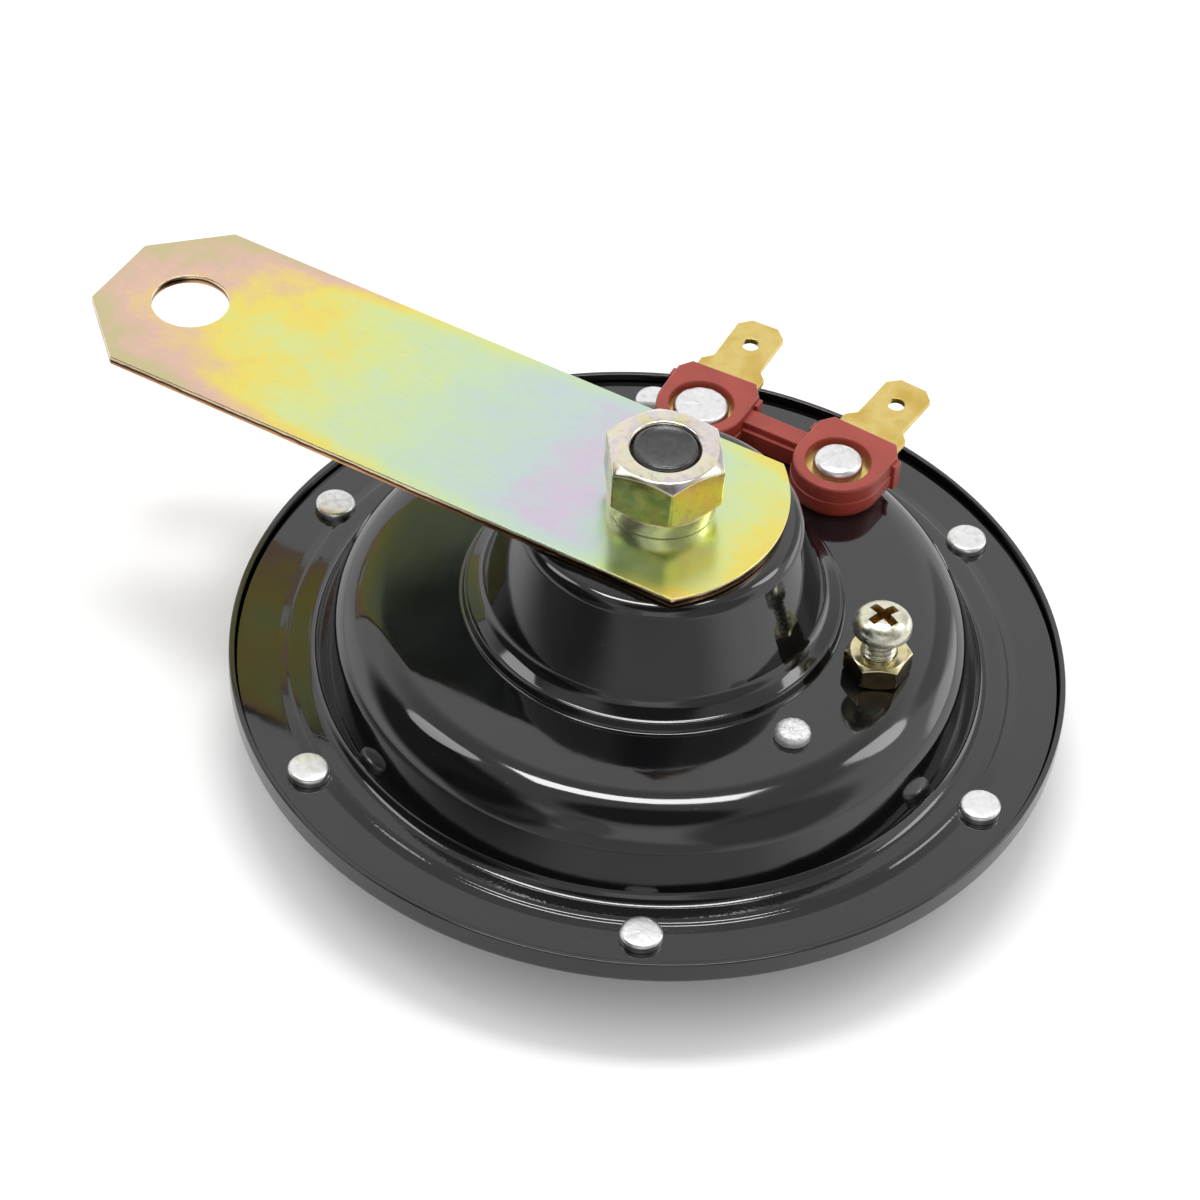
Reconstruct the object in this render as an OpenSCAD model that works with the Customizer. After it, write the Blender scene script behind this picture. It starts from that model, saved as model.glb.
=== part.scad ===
// Electric disc horn on a swivelling strap, lying on its front face.
// The stud axis is Z, the strap points along -X and the terminals along +Y.

/* [Front cover] */
// Depth of the cover, from its front face to the clamped joint
cover_depth = 10.2; // [9.8:0.1:13]
// Sheet thickness of the cover
cover_t = 0.7; // [0.6:0.05:0.9]
// Height of the rim's edge above the rear flange
lip_h = 1.05; // [0.6:0.05:1.6]
// Width of the cover's flat flange, up to its sloped wall
cover_flange_w = 14; // [13:0.5:16]
// Run of the cover's sloped wall, seen from the front
cover_slope_w = 5; // [3:0.5:6]
// Number of sound slots
slot_count = 16; // [8:1:18]
// Width of a sound slot
slot_w = 2.4; // [1.5:0.1:3]
// Distance from the axis to the slots' inner ends
slot_inner = 14; // [12:0.5:16]
// Length of a sound slot
slot_len = 12; // [8:0.5:13]

/* [Rear housing] */
// Sheet thickness of the housing
housing_t = 0.8; // [0.6:0.05:1]
// Width from the ring's top corner to the cover's rim
joint_w = 13.2; // [12.8:0.1:17]
// Width of the ring, from the step to its top corner
ring_w = 14.6; // [13.3:0.1:19]
// How much wider the ring's wall is at its foot
ring_flare = 2.8; // [2.4:0.1:3]
// Height of the ring above the flange
ring_h = 10.05; // [9.6:0.05:13]
// Height of the small step between the ring and the boss
step_h = 1.2; // [1:0.1:1.8]
// Width of the step
step_w = 2; // [1.6:0.1:3]
// Diameter of the boss at its foot
boss_foot_d = 40.4; // [38:0.1:46]
// Diameter of the boss at its top corner
boss_top_d = 32; // [31:0.1:35]
// Height of the boss above the step
boss_h = 12.6; // [11:0.1:18]

/* [Clamped joint] */
// Thickness of each gasket
gasket_t = 0.2; // [0.15:0.05:0.5]
// Thickness of the diaphragm
diaphragm_t = 0.3; // [0.2:0.05:0.5]
// Number of rivets through the joint
rivet_count = 6; // [4:1:8]
// Angle of the first rivet
rivet_turn = -1.8; // [-10:0.1:10]
// Distance from the rivets' axes to the cover's rim
rivet_inset = 5; // [4.5:0.1:5.5]
// Shank diameter of a joint rivet
rivet_shank_d = 3; // [2.5:0.1:3.4]
// Head diameter of a joint rivet
rivet_head_d = 5; // [4.6:0.1:6]
// Head height of a joint rivet
rivet_head_h = 1.2; // [0.8:0.1:1.6]

/* [Strap] */
// Thickness of the strap
strap_t = 1.2; // [1:0.1:3]
// Width of the strap
strap_w = 27.2; // [24:0.1:30]
// Distance from the stud to the fixing hole
strap_reach = 65; // [60:0.5:90]
// Diameter of the fixing hole
fixing_hole_d = 9.4; // [6.4:0.1:11]
// Length of the strap beyond the fixing hole
strap_end = 10.4; // [9:0.1:14]
// Width of the strap's clipped end
strap_end_w = 11.4; // [8:0.1:16]
// Length of the clipped corners
strap_clip = 8; // [5:0.1:9]
// Distance from the stud to the strap's round end
strap_nose = 14.45; // [12:0.05:18]
// Radius of the strap's round end
strap_nose_r = 19.45; // [17:0.05:24]

/* [Stud and nut] */
// Thread diameter of the stud
stud_d = 8; // [7:0.1:9]
// Height of the stud above the nut
stud_proud = 0.1; // [0:0.1:6]
// Width of the nut across its flats
nut_af = 13; // [12.6:0.1:15]
// Height of the nut
nut_h = 6.5; // [5:0.1:8]
// Angle of a corner of the nut
nut_turn = 65; // [0:1:119]
// Height of the spring washer
spring_h = 2.1; // [1.5:0.1:3]
// Outer diameter of the spring washer
spring_d = 12.8; // [11.5:0.1:14]

/* [Adjusting screw] */
// Thread diameter of the screw
screw_d = 4; // [3.5:0.1:4.5]
// Length of the screw below its head
screw_len = 11.75; // [11:0.05:16]
// Head diameter of the screw
screw_head_d = 7; // [6.4:0.1:8]
// Head height of the screw
screw_head_h = 2.4; // [2:0.1:3]
// Distance from the screw's axis to the ring's top corner
screw_inset = 8.6; // [8.6:0.1:9.4]
// Angle of the screw around the stud
screw_angle = 6.6; // [4:0.1:12]
// Angle of the cross recess
recess_turn = 68; // [0:1:90]
// Width of the lock nut across its flats
lock_af = 7; // [6.6:0.1:8]
// Height of the lock nut
lock_h = 3.2; // [2.4:0.1:4]
// Angle of a corner of the lock nut
lock_turn = 29; // [0:1:59]
// Diameter of the welded bush under the ring
bush_d = 8; // [7:0.1:8]
// Height of the bush
bush_h = 2; // [1.5:0.1:2.4]

/* [Terminals] */
// Distance between the two terminal lobes
lobe_pitch = 18.9; // [17.5:0.1:21]
// Distance from the lobes' centres to the ring's top corner
lobe_inset = 8.3; // [7.9:0.1:8.9]
// Radius of a lobe's round front
lobe_r = 5.7; // [5.4:0.1:6.4]
// Length of a lobe from its centre to its back
lobe_back = 6.8; // [6:0.1:8]
// Angle by which each lobe is turned outwards
lobe_turn = 3; // [0:0.5:8]
// Height of the terminal block
block_h = 4.4; // [4:0.1:6]
// Radius of the round well in a lobe
well_r = 4; // [3.7:0.1:4.2]
// Height of the tabs' undersides above the ring
tab_rise = 2.1; // [1.6:0.1:2.6]
// Thickness of a tab
tab_t = 0.8; // [0.5:0.1:1]
// Width of a tab's blade
tab_w = 6.3; // [4.8:0.1:7]
// Width of a tab's base
tab_base_w = 8.6; // [8.4:0.1:9]
// Distance from a lobe's centre to the tab's tip
tab_len = 18.8; // [17:0.1:22]
// Distance from a lobe's centre to the hole in the tab
tab_hole_at = 14.4; // [13:0.1:15.5]
// Diameter of the hole in a tab
tab_hole_d = 2.15; // [1.5:0.05:2.6]
// Shank diameter of a terminal rivet
terminal_shank_d = 3; // [2.4:0.1:3.4]
// Head diameter of the left terminal rivet
left_head_d = 6.5; // [5:0.1:7]
// Head height of the left terminal rivet
left_head_h = 1.3; // [0.8:0.1:1.6]
// Head diameter of the right terminal rivet
right_head_d = 5.5; // [5:0.1:7]
// Head height of the right terminal rivet
right_head_h = 1.1; // [0.8:0.1:1.6]
// Thickness of the insulating washer inside, under each terminal
insulator_h = 1; // [0.6:0.1:1.5]
// Thickness of the lead tags inside
tag_t = 0.5; // [0.3:0.05:0.8]
// Diameter of the leads inside
lead_d = 0.8; // [0.5:0.05:1]

/* [Magnet] */
// Diameter of the iron core and of the armature
core_d = 14; // [12:0.1:14.6]
// Thickness of the bobbin's flanges
bobbin_flange_t = 1; // [0.8:0.1:1.4]
// Height of the pole shoe
pole_shoe_h = 1.5; // [1.2:0.1:2]
// Diameter of the pole shoe
pole_shoe_d = 18; // [16:0.1:20]
// Air gap between the armature and the pole
air_gap = 0.9; // [0.8:0.05:1.2]
// Gap between the moving contact and the pole
pole_over_leaf = 1.95; // [1.5:0.05:3]
// Diameter of the armature's collar
collar_d = 22; // [19:0.5:23]
// Thickness of the armature's collar
collar_t = 1; // [0.8:0.1:1.5]
// Thread diameter of the armature's spigot
spigot_d = 6; // [5:0.1:6.5]
// Diameter of the washer between the armature and the diaphragm
armature_washer_d = 18; // [16:0.5:24]
// Thickness of that washer
armature_washer_t = 1; // [0.8:0.1:1.5]
// Thickness of the tone disc
disc_t = 0.9; // [0.6:0.1:1.2]
// Gap between the cover's inside and the tone disc
disc_gap = 3.8; // [3.6:0.1:4.2]
// Gap between the tone disc's edge and the cover's front corner
disc_side_gap = 2; // [1:0.5:6]
// Diameter of the spacer above the tone disc
disc_spacer_d = 16; // [14:0.5:20]
// Width of the disc nut across its flats
disc_nut_af = 10; // [9:0.1:11]
// Height of the disc nut
disc_nut_h = 2.6; // [2:0.1:2.8]

/* [Contacts] */
// Distance from the contact rivet to the ring's top corner
stack_inset = 9.45; // [9.15:0.05:9.8]
// Angle of the contact rivet around the stud
stack_angle = -25.2; // [-32:0.1:-22]
// Diameter of the contact rivet's head
stack_head_d = 4.26; // [3.6:0.02:6]
// Height of the contact rivet's head
stack_head_h = 1.4; // [1:0.1:2]
// Shank diameter of the contact rivet
stack_shank_d = 2.5; // [2:0.1:2.8]
// Diameter of the insulating washers
stack_d = 9; // [8:0.1:9.2]
// Height of the upper insulator
stack_top_h = 3; // [2.8:0.1:3.2]
// Thickness of the moving contact's leaf
leaf_t = 0.3; // [0.2:0.05:0.4]
// Thickness of the fixed contact's strip
strip_t = 0.8; // [0.6:0.1:1]
// Width of the leaf and the strip
leaf_w = 6; // [5:0.5:7]
// Distance from the axis to the contact points
point_at = 17; // [16:0.5:18]
// Diameter of a contact point
point_d = 4; // [3:0.1:4.6]
// Height of a contact point
point_h = 0.5; // [0.4:0.05:0.7]

/* [Hidden] */
$fn = 96;

// Clearances
rim_gap = 0.3;
stack_gap = 0.2;
rivet_gap = 0.1;
stud_gap = 0.1;
thread_gap = 0.05;
coil_gap = 0.15;
insert_gap = 0.05;
lift_gap = 0.05;
spigot_gap = 0.2;
leaf_overlap = 1.8;
spigot_proud = 0.3;
collar_wall = 0.85;
bobbin_wall = 1.25;
bobbin_step = 1.5;
step_lean = 0.5;
step_fall = 0.5;
lead_gap = 0.1;
lead_end_gap = 0.3;

// Rivet tails
joint_tail_step = 0.8;
joint_tail_h = 0.8;
tail_step = 1;
tail_h = 0.7;

// Details of the terminal block and the tabs
spigot_wall = 1.1;
insulator_rim = 1.2;
lobe_shoulder = 1.8;
lobe_neck = 0.5;
lobe_taper = 1.2;
ear_h = 3.7;
ear_back = 3.4;
ear_out = 0.4;
ear_len = 1.6;
bar_back = 0.4;
bar_w = 3.4;
bar_drop = 0.25;
tab_shoulder = 9.2;
tab_tip = 1.4;

// Details of the leads inside
tag_r = 2.6;
barrel_r = 0.9;
barrel_len = 3;
barrel_start = 4;
bend_swell = 1.12;
lug_w = 3;
lug_len = 7.6;
coil_exit_turn = 110;
contact_exit_turn = -60;

// Fillets of the two sheet pieces
cover_front_fillet = 3;
cover_foot_fillet = 2;
cover_rim_fillet = 1;
boss_top_fillet = 2.5;
boss_foot_fillet = 1.8;
step_fillet = 0.7;
step_foot_fillet = 0.5;
ring_fillet = 6;
ring_foot_fillet = 2.4;
arc_steps = 6;

// Radii
step_r = boss_foot_d / 2 + step_w;
ring_r = step_r + ring_w;
ring_lean = atan(ring_flare / ring_h);
ring_flat_r = ring_r - ring_fillet * tan(45 - ring_lean / 2);
body_r = ring_r + joint_w;
flange_r = body_r - cover_t - rim_gap;
gasket_r = flange_r - stack_gap;
gasket_hole_r = ring_r + ring_flare + ring_foot_fillet + 2 * stack_gap;
cover_wall_r = body_r - cover_flange_w;
front_r = cover_wall_r - cover_slope_w;
rivet_circle_r = body_r - rivet_inset;
stud_hole_r = stud_d / 2 + stud_gap;
bobbin_top_r = boss_top_d / 2 - boss_top_fillet;
bobbin_foot_r = bobbin_top_r + bobbin_step;
bobbin_bore_r = core_d / 2 + coil_gap;
bobbin_tube_r = bobbin_bore_r + bobbin_wall;
disc_r = front_r - disc_side_gap;

// Levels, from the front face upwards
cover_flange_z = cover_depth - cover_t;
diaphragm_z = cover_depth + gasket_t;
rear_gasket_z = diaphragm_z + diaphragm_t;
flange_z = rear_gasket_z + gasket_t;
flange_top = flange_z + housing_t;
rim_top = flange_top + lip_h;
ring_top = flange_top + ring_h;
ring_ceiling = ring_top - housing_t;
step_top = ring_top + step_h;
boss_top = step_top + boss_h;
boss_ceiling = boss_top - housing_t;
strap_top = boss_top + strap_t;
nut_z = strap_top + spring_h;
stud_top = nut_z + nut_h + stud_proud;

// Levels of the armature and the tone disc
armature_z = rear_gasket_z + armature_washer_t;
disc_z = cover_t + disc_gap;
spacer_z = disc_z + disc_t;
spigot_end = disc_z - disc_nut_h - spigot_proud;

// Levels of the contact stack, from the ring's ceiling down
leaf_z = ring_ceiling - stack_top_h - leaf_t;
strip_top = leaf_z - 2 * point_h;
strip_z = strip_top - strip_t;
stack_foot_h = 0.8;
stack_foot_z = strip_z - stack_foot_h;
collar_z = leaf_z - lift_gap - collar_t;
collar_r = stack_shank_d / 2 + collar_wall;
leaf_top = leaf_z + leaf_t;
pole_face_z = leaf_top + pole_over_leaf;
bobbin_z = pole_face_z + pole_shoe_h;
bobbin_h = boss_ceiling - bobbin_z;
armature_top = pole_face_z - air_gap;

// Places on the ring
screw_at = (ring_r - screw_inset) * [cos(screw_angle), sin(screw_angle)];
stack_r = ring_r - stack_inset;
stack_at = stack_r * [cos(stack_angle), sin(stack_angle)];
lobe_y = ring_r - lobe_inset;
tab_z = ring_top + tab_rise;
tab_top = tab_z + tab_t;
tag_z = ring_ceiling - insulator_h - tag_t;

// Direction of v with length 1, and the direction to the left of v
function unit(v) = v / norm(v);
function left_of(v) = unit([-v.y, v.x]);
function turned(v, a) = [v.x * cos(a) - v.y * sin(a), v.x * sin(a) + v.y * cos(a)];
function backwards(list) = [for (k = [len(list) - 1:-1:0]) list[k]];

// +1 where a path bends left at point k, -1 where it bends right
function bend(path, k) = cross(path[k] - path[k - 1], path[k + 1] - path[k]) > 0 ? 1 : -1;

// The path moved sideways by d, to its left where d is positive
function moved(path, d) = [
    for (k = [0:len(path) - 1])
        let (
            before = left_of(path[max(k, 1)] - path[max(k, 1) - 1]),
            last = len(path) - 1,
            after = left_of(path[min(k + 1, last)] - path[min(k, last - 1)])
        )
        path[k] + (before + after) * d / (1 + before * after)
];

// An arc of the given radius in the corner a, b, c, limited by its two sides
function corner_arc(a, b, c, radius) =
    let (
        u = unit(a - b),
        v = unit(c - b),
        half = acos(u * v) / 2,
        reach = min(radius / tan(half), 0.45 * norm(a - b), 0.45 * norm(c - b)),
        r = reach * tan(half),
        centre = b + unit(u + v) * r / sin(half),
        first = b + u * reach - centre,
        sweep = (cross(b - a, c - b) > 0 ? 1 : -1) * (180 - 2 * half)
    )
    [for (k = [0:arc_steps]) centre + turned(first, sweep * k / arc_steps)];

// The path with its inner corners rounded by the listed radii
function rounded(path, radii) = [
    for (k = [0:len(path) - 1])
        let (radius = (k == 0 || k == len(path) - 1) ? 0 : radii[k - 1])
        each radius > 0
            ? corner_arc(path[k - 1], path[k], path[k + 1], radius)
            : [path[k]]
];

// A sheet of thickness t, on the left of the path where t is positive
function sheet(path, radii, t) =
    let (
        far_radii = [for (k = [1:len(path) - 2]) max(0, radii[k - 1] - bend(path, k) * t)]
    )
    concat(rounded(path, radii), backwards(rounded(moved(path, t), far_radii)));

// A flat ring or, with no hole, a disc
module ring(z, h, r, hole_r = 0) {
    translate([0, 0, z])
        linear_extrude(h)
            difference() {
                circle(r);
                if (hole_r > 0)
                    circle(hole_r);
            }
}

// Copies of the children at each rivet of the clamped joint
module at_rivets() {
    for (k = [0:rivet_count - 1])
        rotate([0, 0, rivet_turn + k * 360 / rivet_count])
            translate([rivet_circle_r, 0, 0])
                children();
}

// Holes for the rivets of the clamped joint
module rivet_holes() {
    at_rivets()
        translate([0, 0, cover_flange_z - 1])
            cylinder(r = rivet_shank_d / 2 + rivet_gap, h = flange_top - cover_flange_z + 2);
}

// A rivet with its round head at z = 0, its shank below and a flat tail
module rivet(head_r, head_h, shank_r, grip, tail_r, tail_h) {
    head = rounded([[0, head_h], [head_r, head_h], [head_r, 0]], [min(head_r, head_h) * 0.6]);
    tail = [
        [shank_r, 0], [shank_r, -grip], [tail_r, -grip],
        [tail_r, -grip - tail_h], [0, -grip - tail_h]
    ];
    rotate_extrude()
        polygon(concat(head, tail));
}

// A hexagon with both ends chamfered, from z = 0 upwards
module hexagon(af, h) {
    corner_r = af / sqrt(3);
    flat_r = af * 0.477;
    chamfer = (corner_r - flat_r) * 0.6;
    intersection() {
        cylinder(r = corner_r, h = h, $fn = 6);
        rotate_extrude()
            polygon([
                [0, 0], [flat_r, 0], [corner_r, chamfer],
                [corner_r, h - chamfer], [flat_r, h], [0, h]
            ]);
    }
}

// A nut with its underside at z = 0 and a countersink at each end
module nut(af, h, thread_r) {
    bore_r = thread_r + thread_gap;
    sink = thread_r * 0.08;
    difference() {
        hexagon(af, h);
        translate([0, 0, -1])
            cylinder(r = bore_r, h = h + 2);
        translate([0, 0, h - sink])
            cylinder(r1 = bore_r, r2 = bore_r + 2 * sink, h = 2 * sink);
        translate([0, 0, -sink])
            cylinder(r1 = bore_r + 2 * sink, r2 = bore_r, h = 2 * sink);
    }
}

module rear_housing() {
    path = [
        [stud_hole_r, boss_top], [boss_top_d / 2, boss_top],
        [boss_foot_d / 2, step_top + step_fall], [step_r, step_top],
        [step_r + step_lean, ring_top], [ring_r, ring_top],
        [ring_r + ring_flare, flange_top], [flange_r, flange_top]
    ];
    radii = [
        boss_top_fillet, boss_foot_fillet, step_fillet,
        step_foot_fillet, ring_fillet, ring_foot_fillet
    ];
    color("#1d1d20")
        difference() {
            rotate_extrude()
                polygon(sheet(path, radii, -housing_t));
            rivet_holes();
            through_ring(screw_at, screw_d / 2 + spigot_gap);
            through_ring(stack_at, stack_shank_d / 2 + rivet_gap);
            for (side = [-1, 1])
                through_ring([side * lobe_pitch / 2, lobe_y], spigot_r + spigot_gap);
        }
}

// A drill of radius r through the ring's ceiling
module through_ring(at, r) {
    translate([at.x, at.y, ring_ceiling - 1])
        cylinder(r = r, h = housing_t + 2);
}

module front_cover() {
    path = [
        [0, 0], [front_r, 0], [cover_wall_r, cover_flange_z],
        [body_r, cover_flange_z], [body_r, rim_top]
    ];
    radii = [cover_front_fillet, cover_foot_fillet, cover_rim_fillet];
    color("#1d1d20")
        difference() {
            rotate_extrude()
                polygon(sheet(path, radii, cover_t));
            rivet_holes();
            for (k = [0:slot_count - 1])
                rotate([0, 0, k * 360 / slot_count])
                    translate([slot_inner, 0, -1])
                        linear_extrude(cover_t + 2)
                            slot(slot_len, slot_w);
        }
}

// A slot with round ends, from the origin along X
module slot(length, w) {
    translate([w / 2, 0])
        circle(w / 2);
    translate([length - w / 2, 0])
        circle(w / 2);
    translate([w / 2, -w / 2])
        square([length - w, w]);
}

module rear_gasket() {
    color("#6b6257")
        difference() {
            ring(rear_gasket_z, gasket_t, gasket_r, gasket_hole_r);
            rivet_holes();
        }
}

module front_gasket() {
    color("#6b6257")
        difference() {
            ring(cover_depth, gasket_t, gasket_r, gasket_hole_r);
            rivet_holes();
        }
}

module diaphragm() {
    color("#9aa0a6")
        difference() {
            ring(diaphragm_z, diaphragm_t, gasket_r, spigot_d / 2 + rivet_gap);
            rivet_holes();
        }
}

module flange_rivets() {
    color("#d5d7da")
        at_rivets()
            translate([0, 0, flange_top])
                rivet(
                    rivet_head_d / 2, rivet_head_h, rivet_shank_d / 2,
                    flange_top - cover_flange_z, rivet_shank_d / 2 + joint_tail_step, joint_tail_h
                );
}

module mounting_bracket() {
    half = strap_w / 2;
    end_x = -strap_reach - strap_end;
    color("#d9c86a")
        translate([0, 0, boss_top])
            linear_extrude(strap_t)
                difference() {
                    union() {
                        polygon([
                            [0, -half], [0, half], [end_x + strap_clip, half],
                            [end_x, strap_end_w / 2], [end_x, -strap_end_w / 2],
                            [end_x + strap_clip, -half]
                        ]);
                        intersection() {
                            translate([strap_nose - strap_nose_r, 0])
                                circle(strap_nose_r);
                            translate([-1, -half])
                                square([strap_nose + 2, strap_w]);
                        }
                    }
                    circle(stud_hole_r);
                    translate([-strap_reach, 0])
                        circle(fixing_hole_d / 2);
                }
}

module spring_washer() {
    split = 1;
    color("#c9b45c")
        difference() {
            ring(strap_top, spring_h, spring_d / 2, stud_d / 2 + 0.25);
            rotate([0, 0, 100])
                translate([stud_d / 2, 0, strap_top + spring_h / 2])
                    rotate([20, 0, 0])
                        translate([-1, -split / 2, -spring_h])
                            cube([spring_d, split, 2 * spring_h]);
        }
}

module main_nut() {
    color("#c9b45c")
        translate([0, 0, nut_z])
            rotate([0, 0, nut_turn])
                nut(nut_af, nut_h, stud_d / 2);
}

module pole_stud() {
    core_r = core_d / 2;
    shoe_r = pole_shoe_d / 2;
    r = stud_d / 2;
    chamfer = stud_d * 0.075;
    color("#26262a")
        rotate_extrude()
            polygon([
                [0, pole_face_z], [shoe_r, pole_face_z], [shoe_r, bobbin_z],
                [core_r, bobbin_z], [core_r, boss_ceiling], [r, boss_ceiling],
                [r, stud_top - chamfer], [r - chamfer, stud_top], [0, stud_top]
            ]);
}

module coil_bobbin() {
    top_z = boss_ceiling - bobbin_flange_t;
    color("#2b2a28") {
        difference() {
            union() {
                ring(bobbin_z, bobbin_flange_t, bobbin_foot_r);
                ring(bobbin_z, bobbin_h, bobbin_tube_r);
                ring(top_z, bobbin_flange_t, bobbin_top_r);
            }
            translate([0, 0, bobbin_z - 1])
                cylinder(r = bobbin_bore_r, h = bobbin_h + 2);
        }
    }
}

module coil_winding() {
    winding_h = bobbin_h - 2 * bobbin_flange_t;
    color("#8a3f1c")
        ring(bobbin_z + bobbin_flange_t, winding_h, bobbin_top_r - 0.2, bobbin_tube_r);
}

module armature() {
    r = core_d / 2;
    wide_r = collar_d / 2;
    color("#7d8086")
        rotate_extrude()
            polygon([
                [0, spigot_end], [spigot_d / 2, spigot_end], [spigot_d / 2, armature_z],
                [r, armature_z], [r, collar_z], [wide_r, collar_z],
                [wide_r, collar_z + collar_t], [r, collar_z + collar_t],
                [r, armature_top], [0, armature_top]
            ]);
}

module armature_washer() {
    color("#a9adb2")
        ring(rear_gasket_z, armature_washer_t, armature_washer_d / 2, spigot_d / 2 + rivet_gap);
}

module disc_spacer() {
    color("#a9adb2")
        ring(spacer_z, diaphragm_z - spacer_z, disc_spacer_d / 2, spigot_d / 2 + rivet_gap);
}

module tone_disc() {
    color("#8f949a")
        ring(disc_z, disc_t, disc_r, spigot_d / 2 + rivet_gap);
}

module disc_nut() {
    color("#a9adb2")
        translate([0, 0, disc_z - disc_nut_h])
            nut(disc_nut_af, disc_nut_h, spigot_d / 2);
}

module adjusting_screw() {
    head_r = screw_head_d / 2;
    r = screw_d / 2;
    recess_w = screw_head_d * 0.14;
    recess_len = screw_head_d * 0.62;
    recess_h = screw_head_h * 0.7;
    outline = concat(
        [[0, 0], [r - 0.3, 0], [r, 0.3], [r, screw_len], [head_r, screw_len]],
        corner_arc(
            [head_r, screw_len], [head_r, screw_len + screw_head_h],
            [0, screw_len + screw_head_h], screw_head_h * 0.55
        ),
        [[0, screw_len + screw_head_h]]
    );
    color("#d8d2b0")
        translate([screw_at.x, screw_at.y, strip_top])
            difference() {
                rotate_extrude()
                    polygon(outline);
                for (turn = [0, 90])
                    rotate([0, 0, recess_turn + turn])
                        translate([
                            -recess_len / 2, -recess_w / 2,
                            screw_len + screw_head_h - recess_h
                        ])
                            cube([recess_len, recess_w, screw_head_h]);
            }
}

module lock_nut() {
    color("#d8c77e")
        translate([screw_at.x, screw_at.y, ring_top])
            rotate([0, 0, lock_turn])
                nut(lock_af, lock_h, screw_d / 2);
}

module screw_bush() {
    color("#a9adb2")
        translate([screw_at.x, screw_at.y, 0])
            ring(ring_ceiling - bush_h, bush_h, bush_d / 2, screw_d / 2 + thread_gap);
}

module contact_rivet() {
    color("#cfd2d6")
        translate([stack_at.x, stack_at.y, ring_top])
            rivet(
                stack_head_d / 2, stack_head_h, stack_shank_d / 2,
                ring_top - stack_foot_z, collar_r, tail_h
            );
}

// The upper insulator's collar keeps the leaf and the strip off the rivet
module contact_insulators() {
    bore_r = stack_shank_d / 2 + rivet_gap;
    collar_end = strip_z + insert_gap;
    color("#7a4a2a")
        translate([stack_at.x, stack_at.y, 0]) {
            difference() {
                union() {
                    ring(leaf_z + leaf_t, stack_top_h, stack_d / 2);
                    ring(collar_end, ring_ceiling - collar_end, collar_r);
                }
                translate([0, 0, collar_end - 1])
                    cylinder(r = bore_r, h = ring_ceiling - collar_end + 2);
            }
            ring(strip_top, 2 * point_h, stack_d / 2, collar_r + rivet_gap);
            ring(stack_foot_z, stack_foot_h, stack_d / 2, bore_r);
        }
}

// Outline of a contact strip, from the stack inwards to the radius inner
module contact_outline(inner) {
    difference() {
        union() {
            translate([inner, -leaf_w / 2])
                square([stack_r - inner, leaf_w]);
            translate([stack_r, 0])
                circle(stack_d / 2);
        }
        translate([stack_r, 0])
            circle(collar_r + rivet_gap);
    }
}

module moving_contact() {
    color("#c98a4a")
        rotate([0, 0, stack_angle]) {
            translate([0, 0, leaf_z])
                linear_extrude(leaf_t)
                    union() {
                        contact_outline(collar_d / 2 - leaf_overlap);
                        translate([stack_r - lug_w / 2, -lug_len])
                            square([lug_w, lug_len - stack_d / 4]);
                    }
            translate([point_at, 0, leaf_z - point_h])
                cylinder(r = point_d / 2, h = point_h);
        }
}

// The strip's second arm reaches under the adjusting screw's tip
module fixed_contact() {
    reach = screw_at - stack_at;
    color("#b9863f") {
        translate([0, 0, strip_z])
            linear_extrude(strip_t)
                difference() {
                    union() {
                        rotate(stack_angle)
                            contact_outline(point_at - point_d / 2 - 0.5);
                        translate(stack_at)
                            rotate(atan2(reach.y, reach.x)) {
                                translate([stack_d / 4, -leaf_w / 2])
                                    square([norm(reach) - stack_d / 4, leaf_w]);
                                translate([norm(reach), 0])
                                    circle(leaf_w / 2);
                            }
                    }
                    translate(stack_at)
                        circle(collar_r + rivet_gap);
                }
        rotate([0, 0, stack_angle])
            translate([point_at, 0, strip_top])
                cylinder(r = point_d / 2, h = point_h);
    }
}

spigot_r = terminal_shank_d / 2 + spigot_wall;

// Puts the children, drawn about a lobe's centre, on the left or right lobe
module on_lobe(side) {
    translate([side * lobe_pitch / 2, lobe_y, 0])
        rotate([0, 0, -side * lobe_turn])
            children();
}

// Outline of a lobe about its centre, with its back towards +Y
module lobe_outline() {
    circle(lobe_r);
    shoulder = lobe_back - lobe_shoulder;
    half = [[lobe_r, 0], [lobe_r, shoulder], [lobe_r - lobe_neck, shoulder + 0.1]];
    right = concat(half, [[lobe_r - lobe_taper, lobe_back]]);
    polygon(concat(right, backwards([for (p = right) [-p.x, p.y]])));
}

// Outline of a tab about its lobe's centre, made larger all round by extra
module tab_outline(extra = 0) {
    base = tab_base_w / 2 + extra;
    blade = tab_w / 2 + extra;
    right = [
        [base, 0], [base, tab_shoulder], [blade, tab_shoulder + 1.1 * (base - blade)],
        [blade, tab_len - tab_tip], [blade - tab_tip, tab_len]
    ];
    circle(base);
    polygon(concat(right, backwards([for (p = right) [-p.x, p.y]])));
}

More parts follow.
